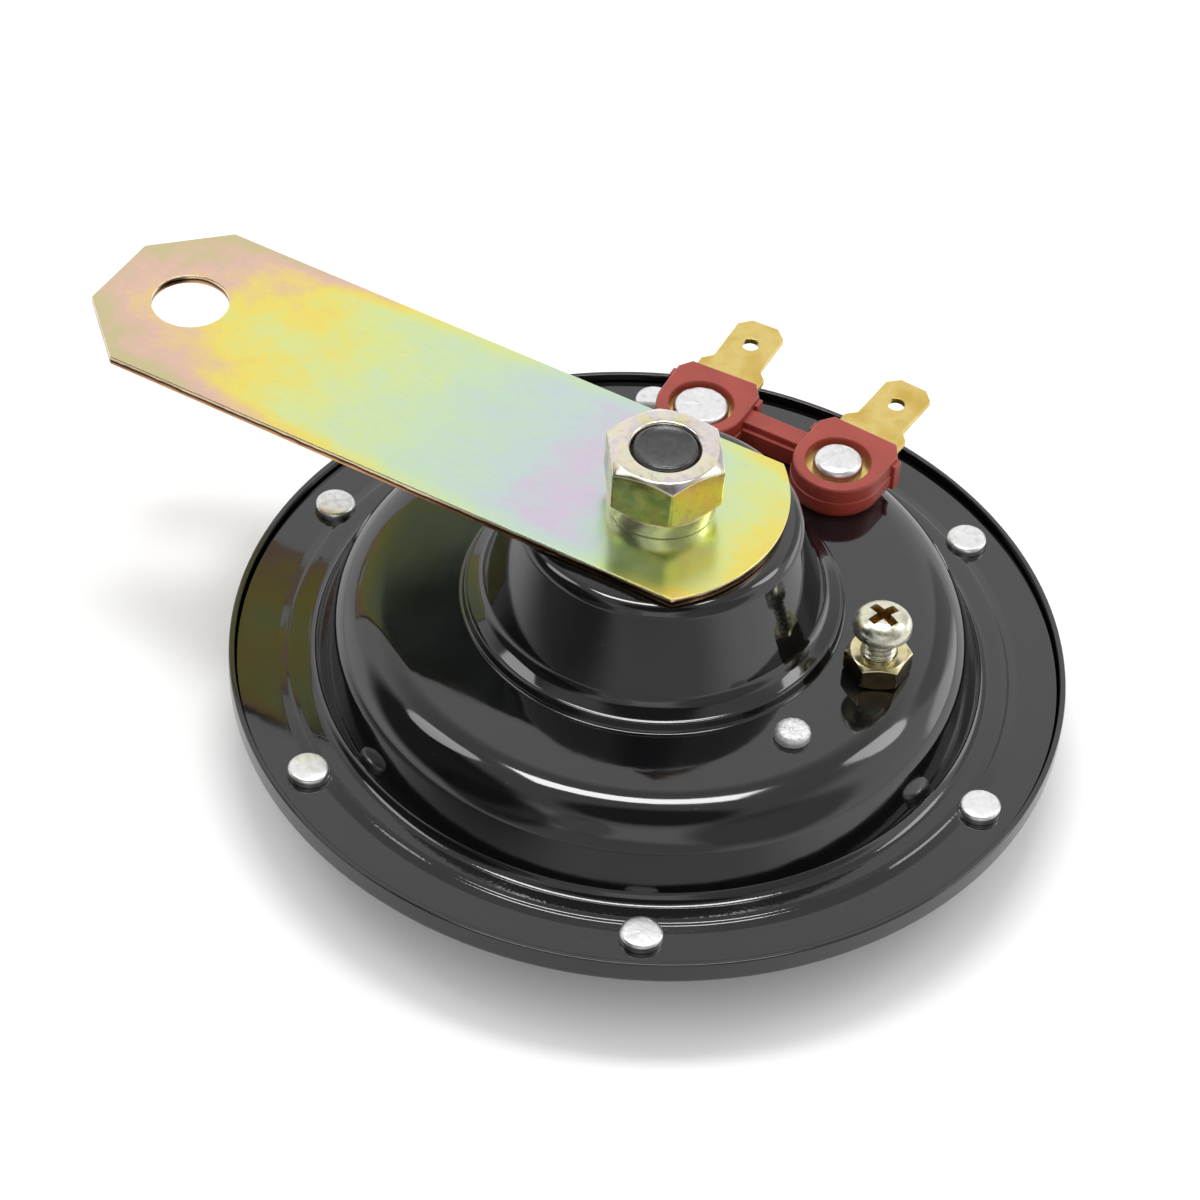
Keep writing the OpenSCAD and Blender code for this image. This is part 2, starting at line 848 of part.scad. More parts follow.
module terminal_block() {
    color("#a8402c")
        difference() {
            union() {
                for (side = [-1, 1]) {
                    on_lobe(side) {
                        translate([0, 0, ring_top])
                            linear_extrude(block_h)
                                lobe_outline();
                        for (ear = [-1, 1])
                            translate([ear * lobe_r - ear_out, lobe_back - ear_back, ring_top])
                                cube([2 * ear_out, ear_len, ear_h]);
                    }
                    translate([side * lobe_pitch / 2, lobe_y, ring_ceiling])
                        cylinder(r = spigot_r, h = housing_t + 1);
                }
                translate([-lobe_pitch / 2, lobe_y + bar_back, ring_top])
                    cube([lobe_pitch, bar_w, block_h - bar_drop]);
            }
            for (side = [-1, 1]) {
                on_lobe(side) {
                    translate([0, 0, tab_top])
                        cylinder(r = well_r, h = block_h);
                    translate([0, 0, tab_z])
                        linear_extrude(tab_t)
                            tab_outline(insert_gap);
                    translate([0, 0, ring_ceiling - 1])
                        cylinder(r = terminal_shank_d / 2 + rivet_gap, h = block_h + 2);
                }
            }
        }
}

module tab(side) {
    color("#b98a3a")
        on_lobe(side)
            translate([0, 0, tab_z])
                linear_extrude(tab_t)
                    difference() {
                        tab_outline();
                        circle(terminal_shank_d / 2 + rivet_gap);
                        translate([0, tab_hole_at])
                            circle(tab_hole_d / 2);
                    }
}

module tab_left() {
    tab(-1);
}

module tab_right() {
    tab(1);
}

// The rivets' heads lie in the wells, one wider and taller than the other
module terminal_rivets() {
    grip = tab_top - tag_z;
    r = terminal_shank_d / 2;
    color("#d5d7da") {
        on_lobe(-1)
            translate([0, 0, tab_top])
                rivet(left_head_d / 2, left_head_h, r, grip, r + tail_step, tail_h);
        on_lobe(1)
            translate([0, 0, tab_top])
                rivet(right_head_d / 2, right_head_h, r, grip, r + tail_step, tail_h);
    }
}

// Washers whose outer side is cut along the ring's shoulder
module terminal_insulators() {
    color("#7a4a2a")
        for (side = [-1, 1])
            intersection() {
                on_lobe(side)
                    ring(
                        ring_ceiling - insulator_h, insulator_h,
                        spigot_r + insulator_rim, terminal_shank_d / 2 + rivet_gap
                    );
                translate([0, 0, ring_ceiling - insulator_h - 1])
                    cylinder(r = ring_flat_r, h = insulator_h + 2);
            }
}

// A tag on each terminal rivet's tail, with a barrel towards the coil
module lead_tags() {
    color("#b98a3a")
        for (side = [-1, 1])
            translate([side * lobe_pitch / 2, lobe_y, tag_z])
                difference() {
                    union() {
                        cylinder(r = tag_r, h = tag_t);
                        translate([-barrel_r, -barrel_start - barrel_len, 0])
                            cube([2 * barrel_r, barrel_start + barrel_len, tag_t]);
                        translate([0, -barrel_start, tag_t / 2])
                            rotate([90, 0, 0])
                                cylinder(r = barrel_r, h = barrel_len);
                    }
                    translate([0, 0, -1])
                        cylinder(r = terminal_shank_d / 2 + rivet_gap, h = tag_t + 2);
                }
}

// A round wire through the listed points
module wire(points) {
    for (k = [0:len(points) - 2]) {
        run = points[k + 1] - points[k];
        translate(points[k])
            rotate([0, acos(run.z / norm(run)), atan2(run.y, run.x)])
                cylinder(r = lead_d / 2, h = norm(run), $fn = 24);
        if (k > 0)
            translate(points[k])
                sphere(r = lead_d * bend_swell / 2, $fn = 24);
    }
}

// A point at the angle a and the radius r about the stud
function polar(r, a, z) = [r * cos(a), r * sin(a), z];

// Two leads from the coil and one from the right terminal to the fixed contact
module inner_leads() {
    winding_r = bobbin_top_r - 0.2;
    out_z = bobbin_z + bobbin_flange_t + lead_d;
    out_r = bobbin_foot_r + lead_d + 0.4;
    tag_mid = tag_z + tag_t / 2;
    tag_y = lobe_y - barrel_start - barrel_len - lead_end_gap;
    lug_z = leaf_top + lead_d / 2;
    lug_at = turned([stack_r - 1, lead_d - lug_len], stack_angle);
    arm_at = stack_at * 0.55 + screw_at * 0.45;
    color("#9c1f1a")
        wire([
            polar(winding_r + lead_gap, coil_exit_turn, out_z),
            polar(out_r, coil_exit_turn, out_z),
            polar(out_r, coil_exit_turn, tag_mid),
            [-lobe_pitch / 2, tag_y, tag_mid]
        ]);
    color("#1c2f7a")
        wire([
            polar(winding_r + lead_gap, contact_exit_turn, out_z),
            polar(out_r, contact_exit_turn, out_z),
            polar(out_r, contact_exit_turn, lug_z),
            [lug_at.x, lug_at.y, lug_z]
        ]);
    color("#1c2f7a")
        wire([
            [lobe_pitch / 2, tag_y, tag_mid],
            polar(stack_r - leaf_w, 50, tag_mid - lead_d),
            polar(stack_r - leaf_w, 12, strip_top + 2 * lead_d),
            [arm_at.x, arm_at.y, strip_top + lead_d / 2]
        ]);
}

rear_housing();
front_cover();
rear_gasket();
front_gasket();
diaphragm();
flange_rivets();
mounting_bracket();
spring_washer();
main_nut();
pole_stud();
coil_bobbin();
coil_winding();
armature();
armature_washer();
disc_spacer();
tone_disc();
disc_nut();
adjusting_screw();
lock_nut();
screw_bush();
contact_rivet();
contact_insulators();
moving_contact();
fixed_contact();
terminal_block();
tab_left();
tab_right();
terminal_rivets();
terminal_insulators();
lead_tags();
inner_leads();
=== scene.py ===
"""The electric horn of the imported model, dressed with fine shapes and finishes."""

import math

import bmesh
import bpy
from mathutils import Matrix, Vector, noise

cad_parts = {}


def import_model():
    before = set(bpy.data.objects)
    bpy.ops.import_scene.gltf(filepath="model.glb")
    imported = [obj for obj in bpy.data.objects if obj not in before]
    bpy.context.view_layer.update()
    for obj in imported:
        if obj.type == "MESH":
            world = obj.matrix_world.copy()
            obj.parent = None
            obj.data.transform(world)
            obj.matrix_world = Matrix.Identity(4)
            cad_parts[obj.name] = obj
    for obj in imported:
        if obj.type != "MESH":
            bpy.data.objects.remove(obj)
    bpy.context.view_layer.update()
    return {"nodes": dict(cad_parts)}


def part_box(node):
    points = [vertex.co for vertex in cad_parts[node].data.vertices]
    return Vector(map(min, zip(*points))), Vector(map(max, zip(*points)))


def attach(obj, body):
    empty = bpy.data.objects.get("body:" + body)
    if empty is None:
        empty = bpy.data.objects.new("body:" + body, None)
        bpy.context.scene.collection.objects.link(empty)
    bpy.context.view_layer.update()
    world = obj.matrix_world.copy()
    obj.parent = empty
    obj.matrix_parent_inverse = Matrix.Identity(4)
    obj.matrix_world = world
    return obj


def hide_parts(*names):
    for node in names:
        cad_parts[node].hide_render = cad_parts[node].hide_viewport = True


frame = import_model()
MM = 0.001


# Sizes in millimetres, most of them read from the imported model


def low(node):
    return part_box(node)[0] / MM


def high(node):
    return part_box(node)[1] / MM


def middle(node):
    return (low(node) + high(node)) / 2


HOUSING_T = 0.8
COVER_T = 0.7
BODY_R = high("front_cover").x
RIM_TOP = high("front_cover").z
FLANGE_R = high("rear_housing").x
FLANGE_TOP = low("rear_housing").z + HOUSING_T
COVER_FLANGE = low("front_gasket").z - COVER_T
RING_TOP = low("lock_nut").z
RING_R = BODY_R - 13.8
BOSS_TOP = high("rear_housing").z
STEP_TOP = RING_TOP + 1.2
STRAP_TOP = high("mounting_bracket").z
STUD_HOLE_R = 4.1
SCREW_AT = middle("adjusting_screw")
STACK_AT = middle("contact_rivet")
RIVETS = 6
RIVET_TURN = math.radians(-1.8)
RIVET_CIRCLE = BODY_R - 5
RIVET_HOLE_R = 1.6
LOBE_X, LOBE_Y = 9.45, 28.5
LOBE_TURN = math.radians(3)
LOBES = [(-LOBE_X, LOBE_Y, LOBE_TURN), (LOBE_X, LOBE_Y, -LOBE_TURN)]

# Heights between which a cutter passes through a sheet
AT_FLANGE = (5, 15)
AT_RING = (18, 24)
AT_STRAP = (30, 40)


# Profiles: lists of points (r, z)


def corner_arc(a, b, c, radius, steps=14):
    """Points of an arc in the corner a, b, c, as in the part's source."""
    a, b, c = Vector(a), Vector(b), Vector(c)
    u, v = (a - b).normalized(), (c - b).normalized()
    half = math.acos(max(-1, min(1, u.dot(v)))) / 2
    most = 0.45 * min((a - b).length, (c - b).length)
    reach = min(radius / math.tan(half), most)
    centre = b + (u + v).normalized() * reach / math.cos(half)
    arm = b + u * reach - centre
    side = 1 if (b - a).cross(c - b) > 0 else -1
    sweep = side * (math.pi - 2 * half)
    return [centre + Matrix.Rotation(sweep * k / steps, 2) @ arm for k in range(steps + 1)]


def rounded(path, radii, steps=14):
    """The path with its inner corners rounded."""
    points = [Vector(path[0])]
    for k, radius in enumerate(radii, start=1):
        if radius > 0:
            points += corner_arc(path[k - 1], path[k], path[k + 1], radius, steps)
        else:
            points.append(Vector(path[k]))
    return points + [Vector(path[-1])]


def moved(path, d):
    """The path moved sideways by d, to its left where d is positive."""
    sides = []
    for a, b in zip(path, path[1:]):
        run = (Vector(b) - Vector(a)).normalized()
        sides.append(Vector((-run.y, run.x)))
    result = []
    for k, point in enumerate(path):
        before, after = sides[max(k - 1, 0)], sides[min(k, len(sides) - 1)]
        result.append(Vector(point) + (before + after) * d / (1 + before.dot(after)))
    return result


def sheet(path, radii, t):
    """A closed loop round a sheet of thickness t, on the left of the path."""
    far = []
    for k, radius in enumerate(radii, start=1):
        a, b, c = (Vector(path[k + d]) for d in (-1, 0, 1))
        side = 1 if (b - a).cross(c - b) > 0 else -1
        far.append(max(0, radius - side * t))
    return rounded(path, radii) + rounded(moved(path, t), far)[::-1]


# Meshes


def new_object(name, points, faces):
    """A mesh object from points in millimetres."""
    mesh = bpy.data.meshes.new(name)
    mesh.from_pydata([Vector(p) * MM for p in points], [], faces)
    mesh.validate()
    obj = bpy.data.objects.new(name, mesh)
    bpy.context.scene.collection.objects.link(obj)
    return obj


def outwards(obj):
    """Turns the faces' normals outwards."""
    work = bmesh.new()
    work.from_mesh(obj.data)
    bmesh.ops.recalc_face_normals(work, faces=work.faces)
    work.to_mesh(obj.data)
    work.free()


def spin(name, profile, count=240, ring=False, at=(0, 0, 0), turn=0.0):
    """Turns a profile round the axis; profile(angle) gives its points (r, z).

    A profile that isn't a ring begins and ends on the axis.
    """
    points, faces, rows = [], [], []
    angles = [2 * math.pi * k / count for k in range(count)]
    loops = [profile(a) for a in angles]
    last = len(loops[0]) - 1
    for i in range(last + 1):
        if not ring and i in (0, last):
            rows.append([len(points)] * count)
            points.append((at[0], at[1], at[2] + loops[0][i][1]))
            continue
        row = []
        for a, loop in zip(angles, loops):
            r, z = loop[i]
            row.append(len(points))
            x, y = r * math.cos(a + turn), r * math.sin(a + turn)
            points.append((at[0] + x, at[1] + y, at[2] + z))
        rows.append(row)
    if ring:
        rows.append(rows[0])
    for first, second in zip(rows, rows[1:]):
        for k in range(count):
            n = (k + 1) % count
            face = []
            for v in (first[k], first[n], second[n], second[k]):
                if v not in face:
                    face.append(v)
            if len(face) > 2:
                faces.append(face)
    obj = new_object(name, points, faces)
    outwards(obj)
    return obj


def prism(name, outline, z0, z1):
    """A straight prism on an outline of points (x, y)."""
    n = len(outline)
    points = [(x, y, z0) for x, y in outline] + [(x, y, z1) for x, y in outline]
    faces = [list(range(n))[::-1], [n + k for k in range(n)]]
    faces += [[k, (k + 1) % n, n + (k + 1) % n, n + k] for k in range(n)]
    obj = new_object(name, points, faces)
    outwards(obj)
    return obj


def drill(at, r, z0, z1, count=96):
    """A round cutter."""
    loop = [(0, z0), (r, z0), (r, z1), (0, z1)]
    return spin("cutter", lambda a: loop, count, at=(at[0], at[1], 0))


def evaluated(obj):
    """Makes the object's modifiers part of its mesh."""
    graph = bpy.context.evaluated_depsgraph_get()
    mesh = bpy.data.meshes.new_from_object(obj.evaluated_get(graph))
    obj.modifiers.clear()
    obj.data = mesh


def combine(obj, others, operation):
    """Runs one exact boolean for each of the other solids, which are then removed."""
    for other in others:
        step = obj.modifiers.new(operation, "BOOLEAN")
        step.operation = operation
        step.solver = "EXACT"
        step.object = other
    evaluated(obj)
    for other in others:
        bpy.data.objects.remove(other)


def cut(obj, cutters):
    """Takes the cutters away from the object."""
    combine(obj, cutters, "DIFFERENCE")


def unite(obj, others):
    """Melts the other solids into the object."""
    combine(obj, others, "UNION")


def bevel(obj, width, segments=2, angle=28):
    """Rounds the edges that turn by more than the angle."""
    step = obj.modifiers.new("bevel", "BEVEL")
    step.width = width * MM
    step.segments = segments
    step.limit_method = "ANGLE"
    step.angle_limit = math.radians(angle)


def smooth(obj, angle=32):
    """Smooth shading with crisp corners, flats kept flat."""
    evaluated(obj)
    mesh = obj.data
    mesh.polygons.foreach_set("use_smooth", [True] * len(mesh.polygons))
    mesh.set_sharp_from_angle(angle=math.radians(angle))
    step = obj.modifiers.new("normals", "WEIGHTED_NORMAL")
    step.keep_sharp = True
    step.weight = 60


def join(name, parts):
    """One object from several."""
    points, faces = [], []
    for part in parts:
        start = len(points)
        points += [v.co / MM for v in part.data.vertices]
        faces += [[start + v for v in p.vertices] for p in part.data.polygons]
        bpy.data.objects.remove(part)
    return new_object(name, points, faces)


def piece(obj, body, slot, material, *nodes):
    """Gives a piece its material and body, and hides the nodes it stands for; the slot is not
    used.
    """
    obj.data.materials.clear()
    obj.data.materials.append(material)
    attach(obj, body)
    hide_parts(*nodes)
    return obj


# Materials


def linear(r, g, b):
    """A colour as seen on a screen, as linear values."""
    values = []
    for c in (r, g, b):
        c = c / 255
        values.append(c / 12.92 if c <= 0.04045 else ((c + 0.055) / 1.055) ** 2.4)
    return (*values, 1.0)


class Nodes:
    """Short ways to add nodes to a shader tree."""

    def __init__(self, tree):
        self.tree = tree

    def plug(self, value, target):
        """Links a socket, or sets a constant value on the target itself."""
        if isinstance(value, bpy.types.NodeSocket):
            self.tree.links.new(value, target)
        else:
            target.default_value = value

    def add(self, kind, values=None, **fields):
        made = self.tree.nodes.new("ShaderNode" + kind)
        for key, value in fields.items():
            setattr(made, key, value)
        for key, value in (values or {}).items():
            self.plug(value, made.inputs[key])
        return made

    def math(self, operation, a, b=0.0, c=0.0):
        return self.add("Math", {0: a, 1: b, 2: c}, operation=operation).outputs[0]

    def vector(self, operation, a, b):
        return self.add("VectorMath", {0: a, 1: b}, operation=operation).outputs[0]

    def length(self, a):
        return self.add("VectorMath", {0: a}, operation="LENGTH").outputs["Value"]

    def axes(self, a):
        """The x, y and z of a vector."""
        return self.add("SeparateXYZ", {0: a}).outputs

    def fit(self, value, low_in, high_in, low_out=0.0, high_out=1.0, kind="SMOOTHSTEP"):
        values = {"Value": value, "From Min": low_in, "From Max": high_in}
        values.update({"To Min": low_out, "To Max": high_out})
        return self.add("MapRange", values, interpolation_type=kind).outputs[0]

    def level(self, share, a, b):
        """A number between a and b."""
        return self.add("Mix", {0: share, 2: a, 3: b}).outputs[0]

    def mix(self, share, a, b):
        """A colour between a and b."""
        return self.add("Mix", {0: share, 6: a, 7: b}, data_type="RGBA").outputs[2]


class Finish(Nodes):
    """A procedural material; position is in millimetres, on the object."""

    def __init__(self, name, metallic=0.0, roughness=0.5):
        self.material = bpy.data.materials.new(name)
        self.material.use_nodes = True
        super().__init__(self.material.node_tree)
        self.shader = self.tree.nodes["Principled BSDF"]
        self.set("Metallic", metallic)
        self.set("Roughness", roughness)
        coords = self.add("TexCoord").outputs
        values = {0: coords["Object"], "Scale": 1 / MM}
        self.position = self.add("VectorMath", values, operation="SCALE").outputs[0]
        self.normal = coords["Normal"]

    def set(self, key, value):
        self.plug(value, self.shader.inputs[key])

    def noise(self, size, detail=3.0, rough=0.5, where=None):
        """Noise whose features are about size millimetres wide."""
        values = {"Vector": where or self.position, "Scale": 1 / size}
        values.update({"Detail": detail, "Roughness": rough})
        return self.add("TexNoise", values).outputs["Fac"]

    def spread(self, size, detail, low_out, high_out):
        """Noise of that size, brought between two values."""
        return self.fit(self.noise(size, detail), 0.3, 0.7, low_out, high_out)

    def stretched(self, x, y, z):
        return self.vector("MULTIPLY", self.position, (x, y, z))

    def ramp(self, value, stops):
        made = self.add("ValToRGB", {"Fac": value})
        elements = made.color_ramp.elements
        while len(elements) < len(stops):
            elements.new(0.5)
        for element, (place, colour) in zip(elements, stops):
            element.position = place
            element.color = colour
        return made.outputs["Color"]

    def bumps(self, *layers):
        """Bump layers, each (height socket, depth in millimetres)."""
        before = None
        for height, depth in layers:
            values = {"Height": height, "Distance": depth * MM, "Strength": 1.0}
            if before:
                values["Normal"] = before
            before = self.add("Bump", values).outputs[0]
        self.set("Normal", before)


def black_paint():
    """Gloss paint, with more orange peel in the hollow round the ring."""
    f = Finish("black_paint")
    dust = f.fit(f.noise(0.35, 2.0), 0.74, 0.8)
    f.set("Base Color", f.mix(dust, (0.004, 0.004, 0.0046, 1), (0.05, 0.05, 0.05, 1)))
    f.set("Roughness", f.spread(9, 4.0, 0.05, 0.09))
    f.set("IOR", 1.72)
    radius = f.length(f.stretched(1, 1, 0))
    hollow = f.math("MULTIPLY", f.fit(radius, 39.5, 41.0), f.fit(radius, 46.5, 44.0))
    peel = f.math("MULTIPLY", f.noise(0.5, 1.0), hollow)
    f.bumps((f.noise(2.6, 1.0), 0.008), (peel, 0.007))
    return f.material


# The film's colours, from the nut outwards
RAINBOW = [
    (0.00, linear(212, 200, 216)),
    (0.12, linear(199, 214, 212)),
    (0.28, linear(200, 222, 196)),
    (0.42, linear(208, 226, 176)),
    (0.55, linear(219, 228, 152)),
    (0.68, linear(238, 221, 112)),
    (0.78, linear(233, 203, 146)),
    (0.87, linear(226, 189, 172)),
    (1.00, linear(206, 193, 150)),
]

# The strap's edge where it was cut, from its lower side to its upper one: its own dark brown in
# the middle, with painted highlights in the pale bands at its lower and upper sides
SHEARED_EDGE_WITH_HIGHLIGHTS = [
    (0.10, linear(214, 172, 120)),
    (0.34, linear(176, 120, 88)),
    (0.46, linear(46, 32, 28)),
    (0.60, linear(52, 38, 30)),
    (0.72, linear(238, 214, 170)),
    (1.00, linear(246, 234, 204)),
]


def strap_film(f):
    """The place in the film's colours, with bands that wander."""
    warp = f.add("TexNoise", {"Vector": f.position, "Scale": 1 / 9, "Detail": 3.0})
    shift = f.vector("SUBTRACT", warp.outputs["Color"], (0.5, 0.5, 0.5))
    pulled = f.axes(f.vector("ADD", f.position, f.vector("MULTIPLY", shift, (12, 5, 0))))
    along = f.math("ADD", pulled[0], 9)
    film = f.math("MAXIMUM", f.math("MULTIPLY", along, -0.0158), f.math("MULTIPLY", along, 0.03))
    side = f.math("ABSOLUTE", f.axes(f.position)[1])
    film = f.math("ADD", film, f.fit(side, 10.5, 13.6, 0, 0.2))
    inner = f.fit(f.math("ABSOLUTE", pulled[1]), 0, 8, 0.15, 0)
    film = f.math("SUBTRACT", film, f.math("MULTIPLY", inner, f.fit(pulled[0], -46, -57)))
    return f.math("ADD", film, f.fit(f.noise(3.5, 4.0, 0.6), 0.3, 0.7, -0.05, 0.05))


def rainbow_zinc():
    """The strap's film runs from lilac at the nut to gold at its far end."""
    f = Finish("rainbow_zinc", metallic=1.0)
    top = f.ramp(strap_film(f), RAINBOW)
    grain = f.noise(0.25, 2.0, where=f.stretched(0.12, 1, 1))
    top = f.mix(f.fit(grain, 0.45, 0.8, 0, 0.07), top, linear(150, 150, 120))
    up = f.math("ABSOLUTE", f.axes(f.normal)[2])
    across = f.fit(f.axes(f.position)[2], BOSS_TOP, STRAP_TOP, kind="LINEAR")
    # The cut edge: its own dark brown, with painted highlights along its upper and lower sides
    edge_and_highlights = f.ramp(f.math("ADD", across, f.spread(2.5, 3.0, -0.07, 0.07)), SHEARED_EDGE_WITH_HIGHLIGHTS)
    f.set("Base Color", f.mix(f.fit(up, 0.3, 0.8), edge_and_highlights, top))
    f.set("Roughness", f.spread(6, 4.0, 0.19, 0.27))
    f.bumps((grain, 0.0006), (f.noise(5, 2.0), 0.015))
    return f.material


def zinc(name, stops, sides=None, size=4.0, roughness=0.22, stain=0.3):
    """Plated metal; faces that stand upright may have their own stops, picked by the film's
    patches and by the way each face looks, which is painted reflection and shade.
    """
    f = Finish(name, metallic=1.0)
    patch = f.spread(size, 3.0, 0, 1)
    colour = f.ramp(patch, stops)
    if sides:
        # Upright faces: colour picked partly by the way each face looks, a painted reflection and
        # shade
        facing = f.axes(f.normal)
        lean = f.math("MULTIPLY_ADD", facing[0], 0.26, 0.3)
        lean = f.math("MULTIPLY_ADD", facing[1], 0.13, lean)
        film = f.math("MULTIPLY_ADD", patch, 0.45, lean)
        colour = f.mix(f.fit(facing[2], 0.1, 0.4), f.ramp(film, sides), colour)
    spots = f.fit(f.noise(0.8, 4.0), 0.5, 0.75, 0, stain)
    f.set("Base Color", f.mix(spots, colour, linear(150, 140, 110)))
    f.set("Roughness", f.spread(1.5, 3.0, roughness - 0.05, roughness + 0.05))
    f.bumps((f.noise(0.9, 3.0), 0.005), (f.noise(0.15, 2.0), 0.001))
    return f.material


def yellow_zinc():
    return zinc("yellow_zinc", [
        (0.0, linear(214, 214, 200)),
        (0.3, linear(228, 220, 192)),
        (0.55, linear(230, 218, 206)),
        (0.8, linear(216, 208, 212)),
        (1.0, linear(224, 216, 174)),
    ], [
        # The upright faces' stops, green to gold: painted reflections on the nut's flats
        (0.0, linear(138, 184, 168)),
        (0.2, linear(182, 206, 142)),
        (0.4, linear(226, 230, 138)),
        (0.65, linear(238, 226, 140)),
        (1.0, linear(238, 202, 152)),
    ])


def pale_zinc():
    return zinc("pale_zinc", [
        (0.0, linear(232, 220, 170)),
        (0.5, linear(240, 230, 190)),
        (1.0, linear(228, 212, 156)),
    ], size=3.0, roughness=0.24)


def lock_zinc():
    return zinc("lock_zinc", [
        (0.0, linear(216, 206, 150)),
        (0.5, linear(230, 220, 178)),
        (1.0, linear(206, 192, 160)),
    ], [
        # The upright faces' stops, darker brown than the top: painted shade on the nut's flats
        (0.0, linear(112, 92, 66)),
        (0.4, linear(146, 126, 88)),
        (0.7, linear(118, 104, 76)),
        (1.0, linear(158, 144, 96)),
    ], size=2.5, roughness=0.2)


def screw_zinc():
    """Pale plating, yellower and darker in the hollow of the recess: partly its yellow film,
    partly painted shade.
    """
    f = Finish("screw_zinc", metallic=1.0)
    pale = f.ramp(f.spread(1.6, 3.0, 0, 1), [
        (0.0, linear(206, 210, 192)),
        (0.5, linear(226, 222, 200)),
        (1.0, linear(204, 202, 192)),
    ])
    top = high("adjusting_screw").z
    from_axis = f.axes(f.vector("SUBTRACT", f.position, SCREW_AT))
    flat = f.add("CombineXYZ", {0: from_axis[0], 1: from_axis[1]}).outputs[0]
    within = f.fit(f.length(flat), 2.3, 2.05, kind="LINEAR")
    z = f.axes(f.position)[2]
    # Yellower and darker in the recess: partly the yellow film, partly painted shade
    recess_film_and_shade = f.math("MULTIPLY", f.fit(z, top - 0.28, top - 0.9), f.fit(z, top - 2.35, top - 2.25))
    colour = f.mix(f.math("MULTIPLY", within, recess_film_and_shade), pale, linear(200, 172, 108))
    spots = f.fit(f.noise(0.5, 4.0), 0.5, 0.75, 0, 0.3)
    f.set("Base Color", f.mix(spots, colour, linear(150, 140, 110)))
    f.set("Roughness", f.spread(0.8, 3.0, 0.2, 0.34))
    f.bumps((f.noise(0.6, 3.0), 0.012), (f.noise(0.15, 2.0), 0.003))
    return f.material


def brass():
    return zinc("brass", [
        (0.0, linear(216, 188, 104)),
        (0.5, linear(224, 200, 124)),
        (1.0, linear(208, 176, 90)),
    ], size=6.0, roughness=0.28, stain=0.1)


def aluminium(name, dark, grain, depth, roughness):
    """Headed aluminium, mottled."""
    f = Finish(name, metallic=1.0)
    mottle = f.noise(grain, 4.0, 0.6)
    f.set("Base Color", f.ramp(mottle, [
        (0.3, linear(dark, dark, dark + 2)),
        (0.5, linear(228, 228, 228)),
        (0.7, linear(240, 240, 240)),
    ]))
    f.set("Roughness", f.fit(mottle, 0.3, 0.7, roughness + 0.06, roughness - 0.06))
    f.bumps((mottle, depth), (f.noise(0.15, 2.0), depth / 4))
    return f.material


def red_plastic():
    """A dull red moulding."""
    f = Finish("red_plastic")
    f.set("Base Color", f.ramp(f.noise(3.5, 3.0), [
        (0.3, (0.26, 0.033, 0.02, 1)),
        (0.7, (0.32, 0.044, 0.028, 1)),
    ]))
    f.set("Roughness", f.spread(0.8, 3.0, 0.34, 0.46))
    f.set("IOR", 1.5)
    f.bumps((f.noise(0.3, 3.0), 0.006), (f.noise(2.5, 2.0), 0.03))
    return f.material


def plain(name, dark, light, metallic, roughness, size, depth):
    """A simple finish with mottled colour, roughness and surface."""
    f = Finish(name, metallic=metallic)
    spots = f.noise(size, 4.0)
    f.set("Base Color", f.ramp(f.fit(spots, 0.3, 0.7), [(0.0, dark), (1.0, light)]))
    f.set("Roughness", f.fit(spots, 0.3, 0.7, roughness + 0.06, roughness - 0.06))
    f.set("IOR", 1.6)
    f.bumps((f.noise(size / 3, 3.0), depth))
    return f.material


def turned(name, dark, light, metallic, roughness, pitch, depth):
    """A finish with fine rings round the stud's axis."""
    f = Finish(name, metallic=metallic)
    values = {"Vector": f.position, "Scale": 1 / pitch / 20 * 2 * math.pi, "Distortion": 0.4}
    rings = f.add("TexWave", values, wave_type="RINGS", rings_direction="Z").outputs["Fac"]
    f.set("Base Color", f.ramp(f.noise(3, 4.0), [(0.3, dark), (0.7, light)]))
    f.set("Roughness", f.spread(1.2, 3.0, roughness - 0.05, roughness + 0.08))
    f.bumps((rings, depth), (f.noise(0.4, 3.0), depth / 2))
    return f.material


PAINT = black_paint()
RAINBOW_ZINC = rainbow_zinc()
YELLOW_ZINC = yellow_zinc()
PALE_ZINC = pale_zinc()
LOCK_ZINC = lock_zinc()
SCREW_ZINC = screw_zinc()
BRASS = brass()
ALUMINIUM = aluminium("rivet_aluminium", dark=206, grain=0.9, depth=0.02, roughness=0.36)
STAKED = aluminium("staked_aluminium", dark=190, grain=0.3, depth=0.05, roughness=0.55)
RED = red_plastic()

# Dark and light colour, metallic, roughness, size of the spots or pitch of the rings, depth
GASKET = plain("gasket", (0.11, 0.09, 0.075, 1), (0.2, 0.17, 0.14, 1), 0, 0.85, 1.2, 0.03)
SPRING = plain("spring_steel", (0.36, 0.37, 0.4, 1), (0.55, 0.56, 0.58, 1), 1, 0.3, 2.0, 0.003)
OXIDE = plain("black_steel", (0.016, 0.016, 0.017, 1), (0.03, 0.03, 0.032, 1), 0, 0.24, 0.6, 0.004)
STEEL = turned("bare_steel", (0.38, 0.39, 0.41, 1), (0.52, 0.53, 0.55, 1), 1, 0.32, 0.4, 0.004)
NYLON = plain("black_plastic", (0.02, 0.02, 0.02, 1), (0.04, 0.04, 0.04, 1), 0, 0.5, 1.5, 0.01)
COPPER = turned("copper_wire", (0.36, 0.12, 0.05, 1), (0.55, 0.22, 0.1, 1), 1, 0.3, 0.4, 0.05)
LAMINATE = plain("insulator", (0.2, 0.1, 0.05, 1), (0.33, 0.18, 0.1, 1), 0, 0.6, 1.0, 0.01)
BRONZE = plain("contact_bronze", (0.5, 0.28, 0.12, 1), (0.68, 0.42, 0.2, 1), 1, 0.3, 1.5, 0.003)
